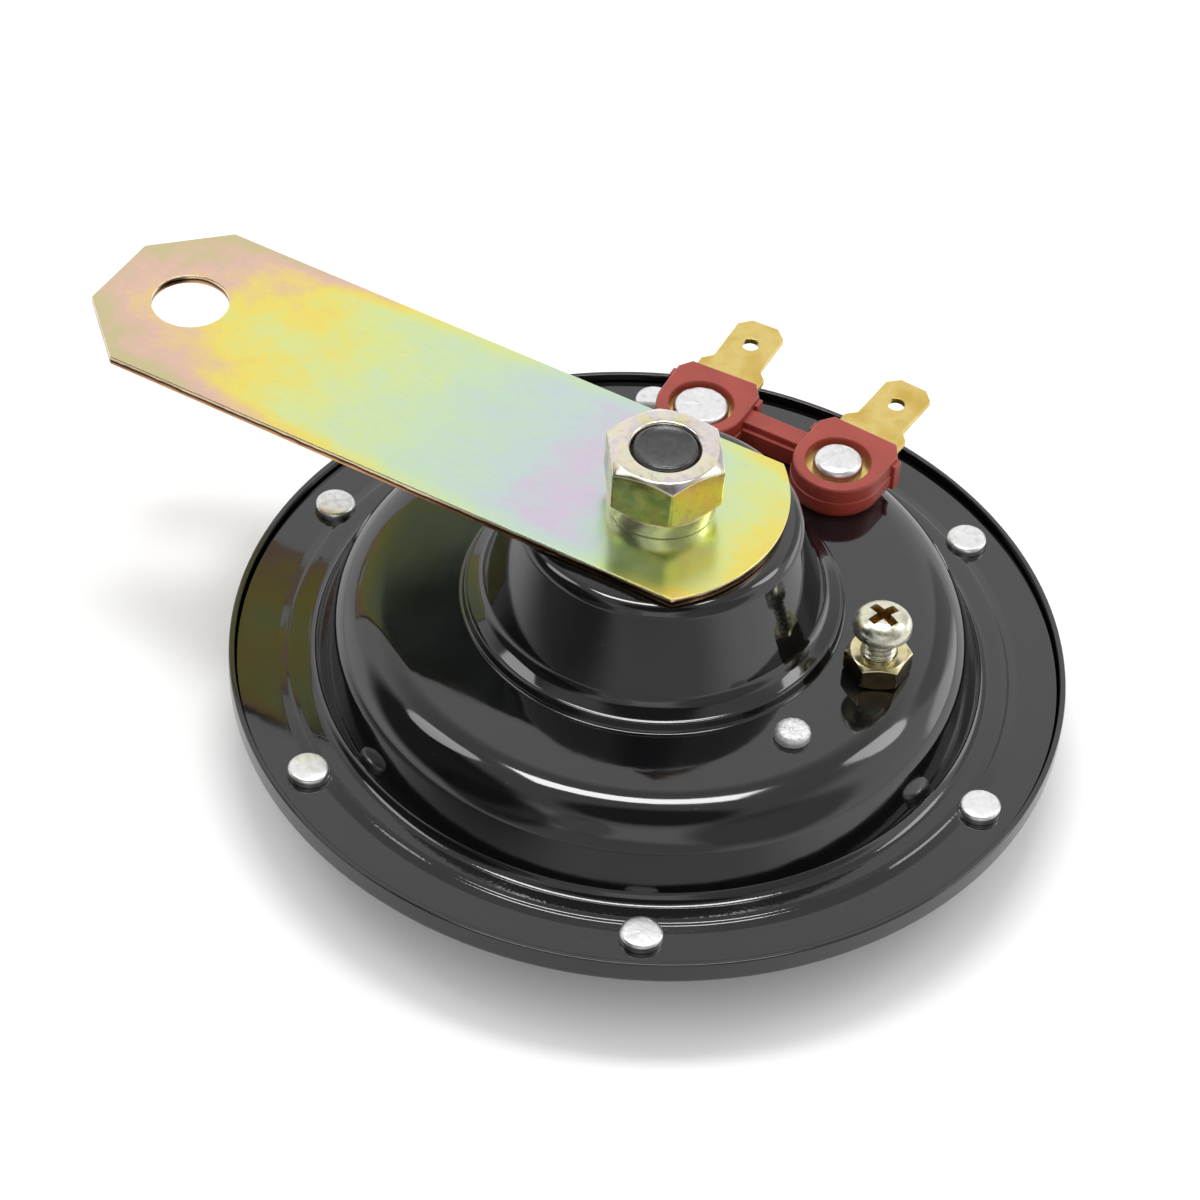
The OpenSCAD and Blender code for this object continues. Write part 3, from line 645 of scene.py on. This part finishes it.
SLEEVE = plain("lead_sleeve", (0.2, 0.02, 0.02, 1), (0.3, 0.04, 0.035, 1), 0, 0.35, 0.6, 0.02)


# Pressed sheet pieces


def around(r, turn, count):
    """Places at even angles on a circle."""
    angles = [turn + 2 * math.pi * k / count for k in range(count)]
    return [(r * math.cos(a), r * math.sin(a)) for a in angles]


RIVET_PLACES = around(RIVET_CIRCLE, RIVET_TURN, RIVETS)


def rivet_holes():
    """Cutters for the flange rivets' shanks."""
    return [drill(place, RIVET_HOLE_R, *AT_FLANGE, 32) for place in RIVET_PLACES]


def housing_loop():
    """The sheet's section: outwards on its upper side, then back on its lower side."""
    start, foot = (STUD_HOLE_R, BOSS_TOP), (20.2, STEP_TOP + 0.92)
    crest = [(21.95, STEP_TOP + 0.02), (22.32, STEP_TOP - 0.06)]
    ring = [(22.68, RING_TOP), (RING_R, RING_TOP), (RING_R + 3.6, FLANGE_TOP + 0.36)]
    bead = [(42.4, FLANGE_TOP + 0.33), (42.95, FLANGE_TOP + 0.28), (43.3, FLANGE_TOP + 0.16)]
    flange = [(44.3, FLANGE_TOP), (FLANGE_R, FLANGE_TOP)]
    outer = [start, (12.5, BOSS_TOP), (16.5, BOSS_TOP - 0.35), foot, *crest, *ring, *bead, *flange]
    inner = [start, (16.2, BOSS_TOP), foot, (22.32, STEP_TOP), *ring, bead[0], *flange]
    outer_fillets = [3, 1.9, 2.6, 1, 0.25, 0.45, 8, 2.4, 1, 0.8, 0.8, 2]
    inner_fillets = [1.2, 2.6, 0, 1.2, 7.2, 3, 0.5, 2]
    back = rounded(moved(inner, -HOUSING_T), inner_fillets)[::-1]
    return rounded(outer, outer_fillets) + back


def rear_housing():
    """One pressed sheet: boss, soft step, ring, low bead and flange."""
    loop = housing_loop()
    obj = spin("rear_housing_shell", lambda a: loop, 288, ring=True)
    holes = rivet_holes()
    holes.append(drill(SCREW_AT, 2.2, *AT_RING, 48))
    holes.append(drill(STACK_AT, 1.35, *AT_RING, 32))
    holes += [drill(place, 2.8, *AT_RING, 48) for place in LOBES]
    cut(obj, holes)
    smooth(obj)
    piece(obj, "housing", "black_paint", PAINT, "rear_housing")


def sound_slot(turn):
    """A cutter for a radial slot with round ends."""
    spun, half = Matrix.Rotation(turn, 2), 1.2
    outline = []
    for centre, start in ((24.8, -90), (15.2, 90)):
        for step in range(13):
            a = math.radians(start + 15 * step)
            outline.append(spun @ Vector((centre + half * math.cos(a), half * math.sin(a))))
    return prism("cutter", outline, -1, 2)


def front_cover():
    """One pressed sheet: flat front with sound slots, flange and a rim that stands up."""
    path = [(0, 0), (31, 0), (36, COVER_FLANGE), (BODY_R, COVER_FLANGE), (BODY_R, RIM_TOP)]
    loop = sheet(path, [3, 2, 1], COVER_T)
    obj = spin("front_cover_shell", lambda a: loop)
    bevel(obj, 0.18, 3, 60)
    slots = 16
    cut(obj, rivet_holes() + [sound_slot(2 * math.pi * k / slots) for k in range(slots)])
    smooth(obj)
    piece(obj, "housing", "black_paint", PAINT, "front_cover")


# Strap, washer, nuts and stud


def strap():
    """A flat strap with a round nose at the boss and clipped corners at its end."""
    end, half = low("mounting_bracket").x, high("mounting_bracket").y
    clip, end_half, fixing_x = 8, 5.7, end + 10.4
    nose_x, nose_r = high("mounting_bracket").x, 19.45
    corner = math.asin(half / nose_r)
    outline = [(end + clip, half), (end, end_half), (end, -end_half), (end + clip, -half)]
    for k in range(41):
        a = -corner + 2 * corner * k / 40
        outline.append((nose_x - nose_r + nose_r * math.cos(a), nose_r * math.sin(a)))
    obj = prism("strap_bracket", outline, BOSS_TOP, STRAP_TOP)
    cut(obj, [drill((0, 0), STUD_HOLE_R, *AT_STRAP), drill((fixing_x, 0), 4.7, *AT_STRAP)])
    bevel(obj, 0.14, 3, 25)
    smooth(obj)
    piece(obj, "bracket", "rainbow_zinc", RAINBOW_ZINC, "mounting_bracket")


def nut(name, across, height, thread_r, at, turn, count):
    """A hexagon nut with turned chamfers and a countersink at each end."""
    bore, sink = thread_r + 0.05, thread_r * 0.07
    face_r, slope = across * 0.47, math.tan(math.radians(30))

    def profile(a):
        within = (a + math.pi / 6) % (math.pi / 3) - math.pi / 6
        hexagon = across / 2 / math.cos(math.pi / 6 - abs(within))
        drop = (hexagon - face_r) * slope
        return [
            (bore, sink), (bore + sink, 0), (face_r, 0), (hexagon, drop),
            (hexagon, height - drop), (face_r, height), (bore + sink, height),
            (bore, height - sink),
        ]

    obj = spin(name, profile, count, ring=True, at=at, turn=math.radians(turn))
    bevel(obj, across * 0.012, 3, 20)
    smooth(obj, 40)
    return obj


def nuts():
    """The M8 nut on the stud and the M4 lock nut of the screw."""
    at = (0, 0, low("main_nut").z)
    main = nut("main_nut_fine", across=13, height=6.5, thread_r=4, at=at, turn=65, count=144)
    piece(main, "housing", "yellow_zinc", YELLOW_ZINC, "main_nut")
    at = (SCREW_AT.x, SCREW_AT.y, RING_TOP)
    lock = nut("lock_nut_fine", across=7, height=3.2, thread_r=2, at=at, turn=29, count=96)
    piece(lock, "housing", "yellow_zinc", LOCK_ZINC, "lock_nut")


def pole_stud():
    """Core, shoe and stud in one turned piece, with a rolled thread and a chamfered end."""
    foot, top = low("pole_stud").z, high("pole_stud").z
    core_top = BOSS_TOP - HOUSING_T
    shoe_r, shoe_h, core_r, crest_r = 9, 1.5, 7, 3.98
    pitch, depth, rows = 1.25, 0.5, 150

    def profile(a):
        loop = [(0, foot), (shoe_r, foot), (shoe_r, foot + shoe_h), (core_r, foot + shoe_h)]
        loop.append((core_r, core_top))
        for k in range(rows + 1):
            z = core_top + (top - 0.6 - core_top) * k / rows
            phase = (z / pitch - a / (2 * math.pi)) % 1
            loop.append((crest_r - depth * max(0, 0.9 - abs(2 * phase - 1) * 1.5), z))
        loop += [(3.74, top - 0.24), (3.68, top - 0.11), (3.5, top - 0.05), (3.42, top)]
        return loop + [(3.36, top), (3.26, top - 0.06), (1.6, top - 0.07), (0, top - 0.07)]

    obj = spin("pole_stud_fine", profile, 96)
    smooth(obj, 35)
    piece(obj, "housing", "black_steel", OXIDE, "pole_stud")


def spring_washer():
    """A split ring of square wire, pressed flat under the nut."""
    inner, outer, height = 4.25, 6.4, high("spring_washer").z - STRAP_TOP
    split, gap, lean = math.radians(100), math.radians(5), math.radians(11)
    count = 120
    points, faces = [], []
    for k in range(count + 1):
        share = k / count
        for r, z in ((inner, 0), (outer, 0), (outer, height), (inner, height)):
            start = split + gap + lean * (z / height - 0.5)
            a = start + share * (2 * math.pi - 2 * gap)
            points.append((r * math.cos(a), r * math.sin(a), STRAP_TOP + z))
    for k in range(count):
        for c in range(4):
            n = (c + 1) % 4
            faces.append([4 * k + c, 4 * k + n, 4 * k + 4 + n, 4 * k + 4 + c])
    faces += [[0, 1, 2, 3], [4 * count + c for c in (3, 2, 1, 0)]]
    obj = new_object("spring_washer_fine", points, faces)
    outwards(obj)
    bevel(obj, 0.22, 3, 40)
    smooth(obj, 40)
    piece(obj, "housing", "yellow_zinc", PALE_ZINC, "spring_washer")


# Adjusting screw


def recess_cutters(top):
    """Two tapered blades that cross in the screw's head."""
    cutters = []
    for turn in (68, 158):
        spun = Matrix.Rotation(math.radians(turn), 3, "Z")
        points = []
        for half_len, half_w, z in ((1.25, 0.32, top - 2.1), (2.1, 0.6, top + 0.3)):
            for x, y in ((-1, -1), (1, -1), (1, 1), (-1, 1)):
                p = spun @ Vector((x * half_len, y * half_w, 0))
                points.append((SCREW_AT.x + p.x, SCREW_AT.y + p.y, z))
        faces = [[3, 2, 1, 0], [4, 5, 6, 7]]
        faces += [[k, (k + 1) % 4, 4 + (k + 1) % 4, 4 + k] for k in range(4)]
        cutters.append(new_object("cutter", points, faces))
    return cutters


def adjusting_screw():
    """An M4 screw with a true thread, a pan head and a cross recess."""
    foot, top = low("adjusting_screw").z, high("adjusting_screw").z
    length, pitch, r, head_r = 11.75, 0.7, 2.0, 3.5
    head_h = top - foot - length
    rows, brim = 400, 0.5
    head = [(head_r - 0.15, length), (head_r, length + 0.15), (head_r, length + brim)]
    for k in range(1, 19):
        across = math.sin(math.radians(90 - 5 * k))
        rise = (1 - across ** 2.5) ** (1 / 2.5)
        head.append((head_r * across, length + brim + (head_h - brim) * rise))

    def profile(a):
        loop = [(0, 0)]
        for k in range(rows + 1):
            z = length * k / rows
            phase = (z / pitch - a / (2 * math.pi)) % 1
            cut_in = 0.4 * max(0, min(1, 1.5 * (1 - abs(2 * phase - 1)) - 0.15))
            fade = min(1, max(0, (length - z) / 0.5))
            loop.append((min(r - cut_in * fade, 1.55 + z), z))
        return loop + head

    obj = spin("adjusting_screw_fine", profile, 72, at=(SCREW_AT.x, SCREW_AT.y, foot))
    cut(obj, recess_cutters(top))
    smooth(obj, 35)
    piece(obj, "screw", "screw_zinc", SCREW_ZINC, "adjusting_screw")


# Rivets


def rivet(name, at, head, shank_r, grip, tail, rough, seed):
    """A rivet whose pressed head is slightly uneven; head and tail are (radius, height)."""
    (head_r, head_h), (tail_r, tail_h) = head, tail
    crown = head_h * 0.93
    edge = corner_arc((head_r, 0), (head_r, crown), (0, head_h), head_h * 0.5, 8)
    inner = [(head_r * s, head_h - (head_h - crown) * s * s) for s in (0.7, 0.5, 0.3, 0.15)]
    loop = [(0, -grip - tail_h), (tail_r, -grip - tail_h), (tail_r, -grip), (shank_r, -grip)]
    loop += [(shank_r, 0), (head_r - 0.08, 0), (head_r, 0.08)]
    loop += [(p.x, p.y) for p in edge] + inner + [(0, head_h)]
    obj = spin(name, lambda a: loop, 64, at=at)
    place = Vector((seed * 3.7, seed * 1.3, seed * 2.1))
    for v in obj.data.vertices:
        local = v.co / MM - Vector(at)
        if local.z > 0.15:
            dip = noise.noise(local * 1.1 + place) + 0.5 * noise.noise(local * 2.7 - place)
            v.co.z -= rough * (0.5 + 0.5 * dip) * MM
    return obj


def flange_rivets():
    """Six rivets with flat heads through the joint."""
    head, tail, grip = (2.5, 1.2), (2.3, 0.8), FLANGE_TOP - COVER_FLANGE
    parts = []
    for k, (x, y) in enumerate(RIVET_PLACES):
        parts.append(rivet("rivet", (x, y, FLANGE_TOP), head, 1.5, grip, tail, 0.07, k))
    obj = join("flange_rivet_set", parts)
    smooth(obj, 40)
    piece(obj, "housing", "rivet_aluminium", ALUMINIUM, "flange_rivets")


def contact_rivet():
    """A staked rivet whose head is scalloped round its edge."""
    head, tail = (2.13, 1.4), (2.1, 0.7)
    grip = RING_TOP - low("contact_rivet").z - 0.7
    at = (STACK_AT.x, STACK_AT.y, RING_TOP)
    obj = rivet("contact_rivet_fine", at, head, 1.25, grip, tail, 0.12, 9)
    for v in obj.data.vertices:
        local = v.co / MM - Vector(at)
        share = max(0, min(1, (local.z - 0.4) / 0.8)) * (local.xy.length > 1.2)
        wave = abs(math.sin(7 * math.atan2(local.y, local.x) + 0.6 * noise.noise(local)))
        v.co.xy = Vector(at).xy * MM + local.xy * (1 - 0.07 * share * wave) * MM
    smooth(obj, 40)
    piece(obj, "housing", "rivet_aluminium", STAKED, "contact_rivet")


def terminal_rivets():
    """One rivet in each lobe; the left one is pressed flatter."""
    base, tail = high("tab_left").z, (2.5, 0.7)
    grip = base - low("terminal_rivets").z - 0.7
    left, right = [(x, y, base) for x, y, turn in LOBES]
    parts = [
        rivet("rivet", left, (3.42, 1.45), 1.5, grip, tail, 0.18, 20),
        rivet("rivet", right, (3.0, 1.9), 1.5, grip, tail, 0.1, 23),
    ]
    obj = join("terminal_rivet_pair", parts)
    smooth(obj, 40)
    piece(obj, "housing", "rivet_aluminium", ALUMINIUM, "terminal_rivets")


# Terminals


LOBE_R = 5.7
LOBE_SIDE = 4.9
LOBE_BACK = 6.8
LOBE_CLIP = 1.15
WELL_R = 4
SLOT_R = 4.35

# A lobe's inset and height above the ring at each of its levels
LOBE_LEVELS = [
    (0.35, 0), (0.12, 0.3), (0.0, 0.9), (0.0, 2.1), (0.04, 2.25), (0.16, 2.32),
    (0.12, 2.42), (0.14, 3.95), (0.18, 4.15), (0.27, 4.3), (0.4, 4.38), (0.55, 4.4),
]


def lobe_outline(inset):
    """A lobe about its centre: round in front, straight sides, clipped back corners."""
    r, back = LOBE_R - inset, LOBE_BACK - inset
    outline = []
    for k in range(33):
        a = math.pi + math.pi * k / 32
        outline.append((r * math.cos(a), r * math.sin(a)))
    clip = LOBE_CLIP
    return outline + [(r, LOBE_SIDE), (r - clip, back), (clip - r, back), (-r, LOBE_SIDE)]


def lobe(at, turn):
    """A moulded lobe: soft top edge, parting line, lower half a little fuller."""
    spun = Matrix.Rotation(turn, 2)
    points, faces = [], []
    for inset, z in LOBE_LEVELS:
        for p in lobe_outline(inset):
            q = spun @ Vector(p)
            points.append((at[0] + q.x, at[1] + q.y, RING_TOP + z))
    n = len(points) // len(LOBE_LEVELS)
    for row in range(len(LOBE_LEVELS) - 1):
        for k in range(n):
            m = (k + 1) % n
            faces.append([row * n + k, row * n + m, row * n + n + m, row * n + n + k])
    faces += [list(range(n))[::-1], [len(points) - n + k for k in range(n)]]
    obj = new_object("lobe", points, faces)
    outwards(obj)
    return obj


def box(x0, x1, y0, y1, z0, z1, turn=0.0, at=(0, 0), soft=0.0):
    """A block, turned about at, with its edges softened."""
    spun = Matrix.Rotation(turn, 2)
    corners = [spun @ Vector(p) for p in ((x0, y0), (x1, y0), (x1, y1), (x0, y1))]
    obj = prism("box", [(at[0] + p.x, at[1] + p.y) for p in corners], z0, z1)
    if soft:
        bevel(obj, soft, 3, 30)
        evaluated(obj)
    return obj


def bars():
    """The bar between the lobes, with a lower step in front."""
    front, top = LOBE_Y + 0.75, RING_TOP + 3.4
    back = front + 2.7
    return [
        box(-LOBE_X, LOBE_X, front, back, RING_TOP, top, soft=0.25),
        box(-LOBE_X, LOBE_X, front - 0.5, back, RING_TOP, top - 0.9, soft=0.15),
    ]


def lobe_solids(x, y, turn):
    """A lobe, the ear on each of its sides and the spigot under it."""
    solids = [lobe((x, y), turn)]
    z0, z1 = RING_TOP + 0.02, RING_TOP + 3.7
    for side in (-1, 1):
        x0, x1 = sorted((side * 5.2, side * 6.08))
        solids.append(box(x0, x1, 3.45, 4.95, z0, z1, turn, (x, y), 0.12))
    solids.append(drill((x, y), 2.6, RING_TOP - HOUSING_T, RING_TOP + 1, 48))
    return solids


def lobe_cutters(x, y, turn):
    """The well for the rivet's head, the slot for the tab and the shank's hole."""
    seat = low("tab_left").z
    well = [
        (0, seat + 0.4), (WELL_R, seat + 0.4), (WELL_R, RING_TOP + 4.18),
        (WELL_R + 0.07, RING_TOP + 4.32), (WELL_R + 0.2, RING_TOP + 4.41),
        (WELL_R + 0.2, RING_TOP + 6), (0, RING_TOP + 6),
    ]
    slot = []
    for k in range(33):
        a = math.pi * k / 32
        slot.append((SLOT_R * math.cos(a), -SLOT_R * math.sin(a)))
    slot += [(-SLOT_R, 9), (SLOT_R, 9)]
    spun = Matrix.Rotation(turn, 2)
    slot = [Vector((x, y)) + spun @ Vector(p) for p in slot]
    return [
        spin("cutter", lambda a: well, 96, at=(x, y, 0)),
        prism("cutter", slot, seat, seat + 0.8),
        drill((x, y), RIVET_HOLE_R, RING_TOP - 2, RING_TOP + 4, 32),
    ]


def terminal_block():
    """Two lobes, the bar between them and an ear on each side of each lobe."""
    left, right = [lobe_solids(*place) for place in LOBES]
    block = left[0]
    unite(block, bars() + left[1:] + right)
    cut(block, lobe_cutters(*LOBES[0]) + lobe_cutters(*LOBES[1]))
    block.name = "terminal_block_fine"
    smooth(block, 35)
    piece(block, "housing", "red_plastic", RED, "terminal_block")


def softened(node, width, segments):
    """A closed copy of a solid with softened edges."""
    obj = bpy.data.objects.new(node + "_fine", frame["nodes"][node].data.copy())
    bpy.context.scene.collection.objects.link(obj)
    work = bmesh.new()
    work.from_mesh(obj.data)
    bmesh.ops.remove_doubles(work, verts=work.verts, dist=0.002 * MM)
    flat = math.radians(1.5)
    bmesh.ops.dissolve_limit(work, angle_limit=flat, verts=work.verts, edges=work.edges)
    work.to_mesh(obj.data)
    work.free()
    bevel(obj, width, segments, 30)
    smooth(obj, 35)
    return obj


def tabs():
    for node in ("tab_left", "tab_right"):
        piece(softened(node, 0.1, 3), "housing", "brass", BRASS, node)


# Solids that keep their shape
KEPT = {
    "rear_gasket": GASKET, "front_gasket": GASKET, "diaphragm": SPRING,
    "coil_bobbin": NYLON, "coil_winding": COPPER, "armature": STEEL, "armature_washer": STEEL,
    "disc_spacer": STEEL, "tone_disc": STEEL, "disc_nut": STEEL, "screw_bush": STEEL,
    "contact_insulators": LAMINATE, "moving_contact": BRONZE, "fixed_contact": BRASS,
    "terminal_insulators": LAMINATE, "lead_tags": BRASS, "inner_leads": SLEEVE,
}


def kept_nodes():
    for name, material in KEPT.items():
        data = frame["nodes"][name].data
        data.materials.clear()
        data.materials.append(material)


# Floor, light and camera


VIEW_TURN = math.radians(26.6)
VIEW_TILT = math.radians(44.178)
WORLD_LIGHT = 1.0
FLOOR_REACH = 3000

# Parts of the mirrored room: direction (across, depth, height), reach, share of its level
ROOM = [
    ((0.05, -0.33, 0.94), (0.31, 0.27, 0.3), 0.12),
    ((-0.77, -0.2, 0.6), (0.38, 0.55, 0.5), 0.05),
    ((-0.68, -0.6, 0.42), (0.34, 0.34, 0.42), 0.2),
    ((-0.25, -0.75, 0.6), (0.15, 0.25, 0.3), 0.55),
    ((0.62, -0.58, 0.47), (0.42, 0.48, 0.48), 0.38),
    ((0.62, 0.65, 0.4), (0.2, 0.35, 0.35), 0.6),
    ((-0.25, -0.95, 0.08), (0.75, 0.5, 0.32), 0.5),
    ((-0.93, 0.25, 0.15), (0.25, 0.5, 0.3), 1.15),
    ((0.87, 0.52, 0.04), (0.27, 0.3, 0.3), 2.2),
]

# Parts of the mirrored floor: place (across, depth) and reach in metres, share of its level
GROUND = [
    ((-0.22, -0.11), 0.15, 0.15),
    ((-0.03, -0.22), 0.17, 0.5),
    ((-0.05, -0.6), 0.32, 0.5),
]


def seen_from(across, depth, height):
    """A place in metres: across to the view's right, depth away from the viewer."""
    flat = Matrix.Rotation(VIEW_TURN, 2) @ Vector((across, depth))
    return Vector((flat.x, flat.y, height))


def floor():
    """White; mirrored in the horn, it is darker in front and to the left."""
    signs = ((-1, -1), (1, -1), (1, 1), (-1, 1))
    corners = [(x * FLOOR_REACH, y * FLOOR_REACH, 0) for x, y in signs]
    obj = new_object("floor", corners, [[0, 1, 2, 3]])
    f = Finish("floor", roughness=0.9)
    colour = f.mix(f.noise(40, 2.0), (0.93, 0.93, 0.93, 1), (0.96, 0.96, 0.96, 1))
    share = 0.85
    for centre, reach, level in GROUND:
        away = f.length(f.vector("SUBTRACT", f.position, seen_from(*centre, 0) / MM))
        edge = reach / MM
        share = f.math("MULTIPLY", share, f.fit(away, 0.75 * edge, 1.25 * edge, level, 1.0))
    glossy = f.add("LightPath").outputs["Is Glossy Ray"]
    dark = f.math("MULTIPLY", glossy, f.math("SUBTRACT", 1.0, share))
    f.set("Base Color", f.mix(dark, colour, (0.0, 0.0, 0.0, 1)))
    obj.data.materials.append(f.material)


def world():
    """White where it is seen; mirrored, a pale room with darker and lighter parts."""
    made = bpy.data.worlds.new("studio")
    bpy.context.scene.world = made
    made.use_nodes = True
    w = Nodes(made.node_tree)
    values = {"Vector": w.add("TexCoord").outputs["Generated"], "Angle": -VIEW_TURN}
    towards = w.add("VectorRotate", values, rotation_type="Z_AXIS").outputs[0]
    room = w.fit(w.axes(towards)[2], 0.68, 0.86, 1.05, 0.5)
    for centre, reach, share in ROOM:
        off = w.vector("SUBTRACT", towards, centre)
        away = w.length(w.vector("MULTIPLY", off, [1 / r for r in reach]))
        room = w.math("MULTIPLY", room, w.fit(away, 0.8, 1.2, share, 1.0))
    path = w.add("LightPath").outputs
    seen = w.math("MAXIMUM", path["Is Camera Ray"], path["Is Transmission Ray"])
    strength = w.level(seen, w.level(path["Is Glossy Ray"], WORLD_LIGHT, room), 1.0)
    back = w.tree.nodes["Background"]
    back.inputs["Color"].default_value = (1, 1, 1, 1)
    w.plug(strength, back.inputs["Strength"])


def lamp(name, place, width, depth, radiance, shape="ELLIPSE"):
    """A soft box that looks at the horn."""
    light = bpy.data.lights.new(name, "AREA")
    light.shape = shape
    light.size, light.size_y = width, depth
    light.energy = radiance * math.pi * width * depth
    light.diffuse_factor = 0.35
    obj = bpy.data.objects.new(name, light)
    bpy.context.scene.collection.objects.link(obj)
    obj.location = place
    away = (place - Vector((0, 0, 0.02))).normalized()
    side = seen_from(1, 0, 0)
    side = (side - away * side.dot(away)).normalized()
    obj.rotation_euler = Matrix((side, away.cross(side), away)).transposed().to_euler()


def camera():
    """The photograph's camera, as worked out from its circles."""
    distance, roll = 0.531643, math.radians(4.321)
    across, depth = -0.005829, 0.008564
    ground = distance * math.cos(VIEW_TILT)
    place = seen_from(across, depth - ground, distance * math.sin(VIEW_TILT) + RIM_TOP * MM)
    ahead = seen_from(0, math.cos(VIEW_TILT), -math.sin(VIEW_TILT))
    level = seen_from(1, 0, 0)
    up = seen_from(0, math.sin(VIEW_TILT), math.cos(VIEW_TILT))
    right = level * math.cos(roll) + up * math.sin(roll)
    above = up * math.cos(roll) - level * math.sin(roll)
    data = bpy.data.cameras.new("camera")
    data.sensor_width = 36
    data.lens = 131.957
    data.shift_x, data.shift_y = -0.003034, -0.004267
    data.clip_start, data.clip_end = 0.01, 20
    obj = bpy.data.objects.new("camera", data)
    bpy.context.scene.collection.objects.link(obj)
    turn = Matrix((right, above, -ahead)).transposed().to_4x4()
    obj.matrix_world = Matrix.Translation(place) @ turn
    bpy.context.scene.camera = obj


bpy.context.scene.view_settings.view_transform = "Standard"
camera()
world()
floor()
lamp("key", seen_from(0, 0.15, 0.72), 0.34, 0.13, radiance=12, shape="RECTANGLE")
lamp("left", seen_from(-0.37, 0.09, 0.57), 0.26, 0.15, radiance=2.5)
lamp("right", seen_from(0.43, 0.18, 0.53), 0.28, 0.16, radiance=2.8)

rear_housing()
front_cover()
strap()
nuts()
spring_washer()
pole_stud()
adjusting_screw()
flange_rivets()
contact_rivet()
terminal_rivets()
terminal_block()
tabs()
kept_nodes()
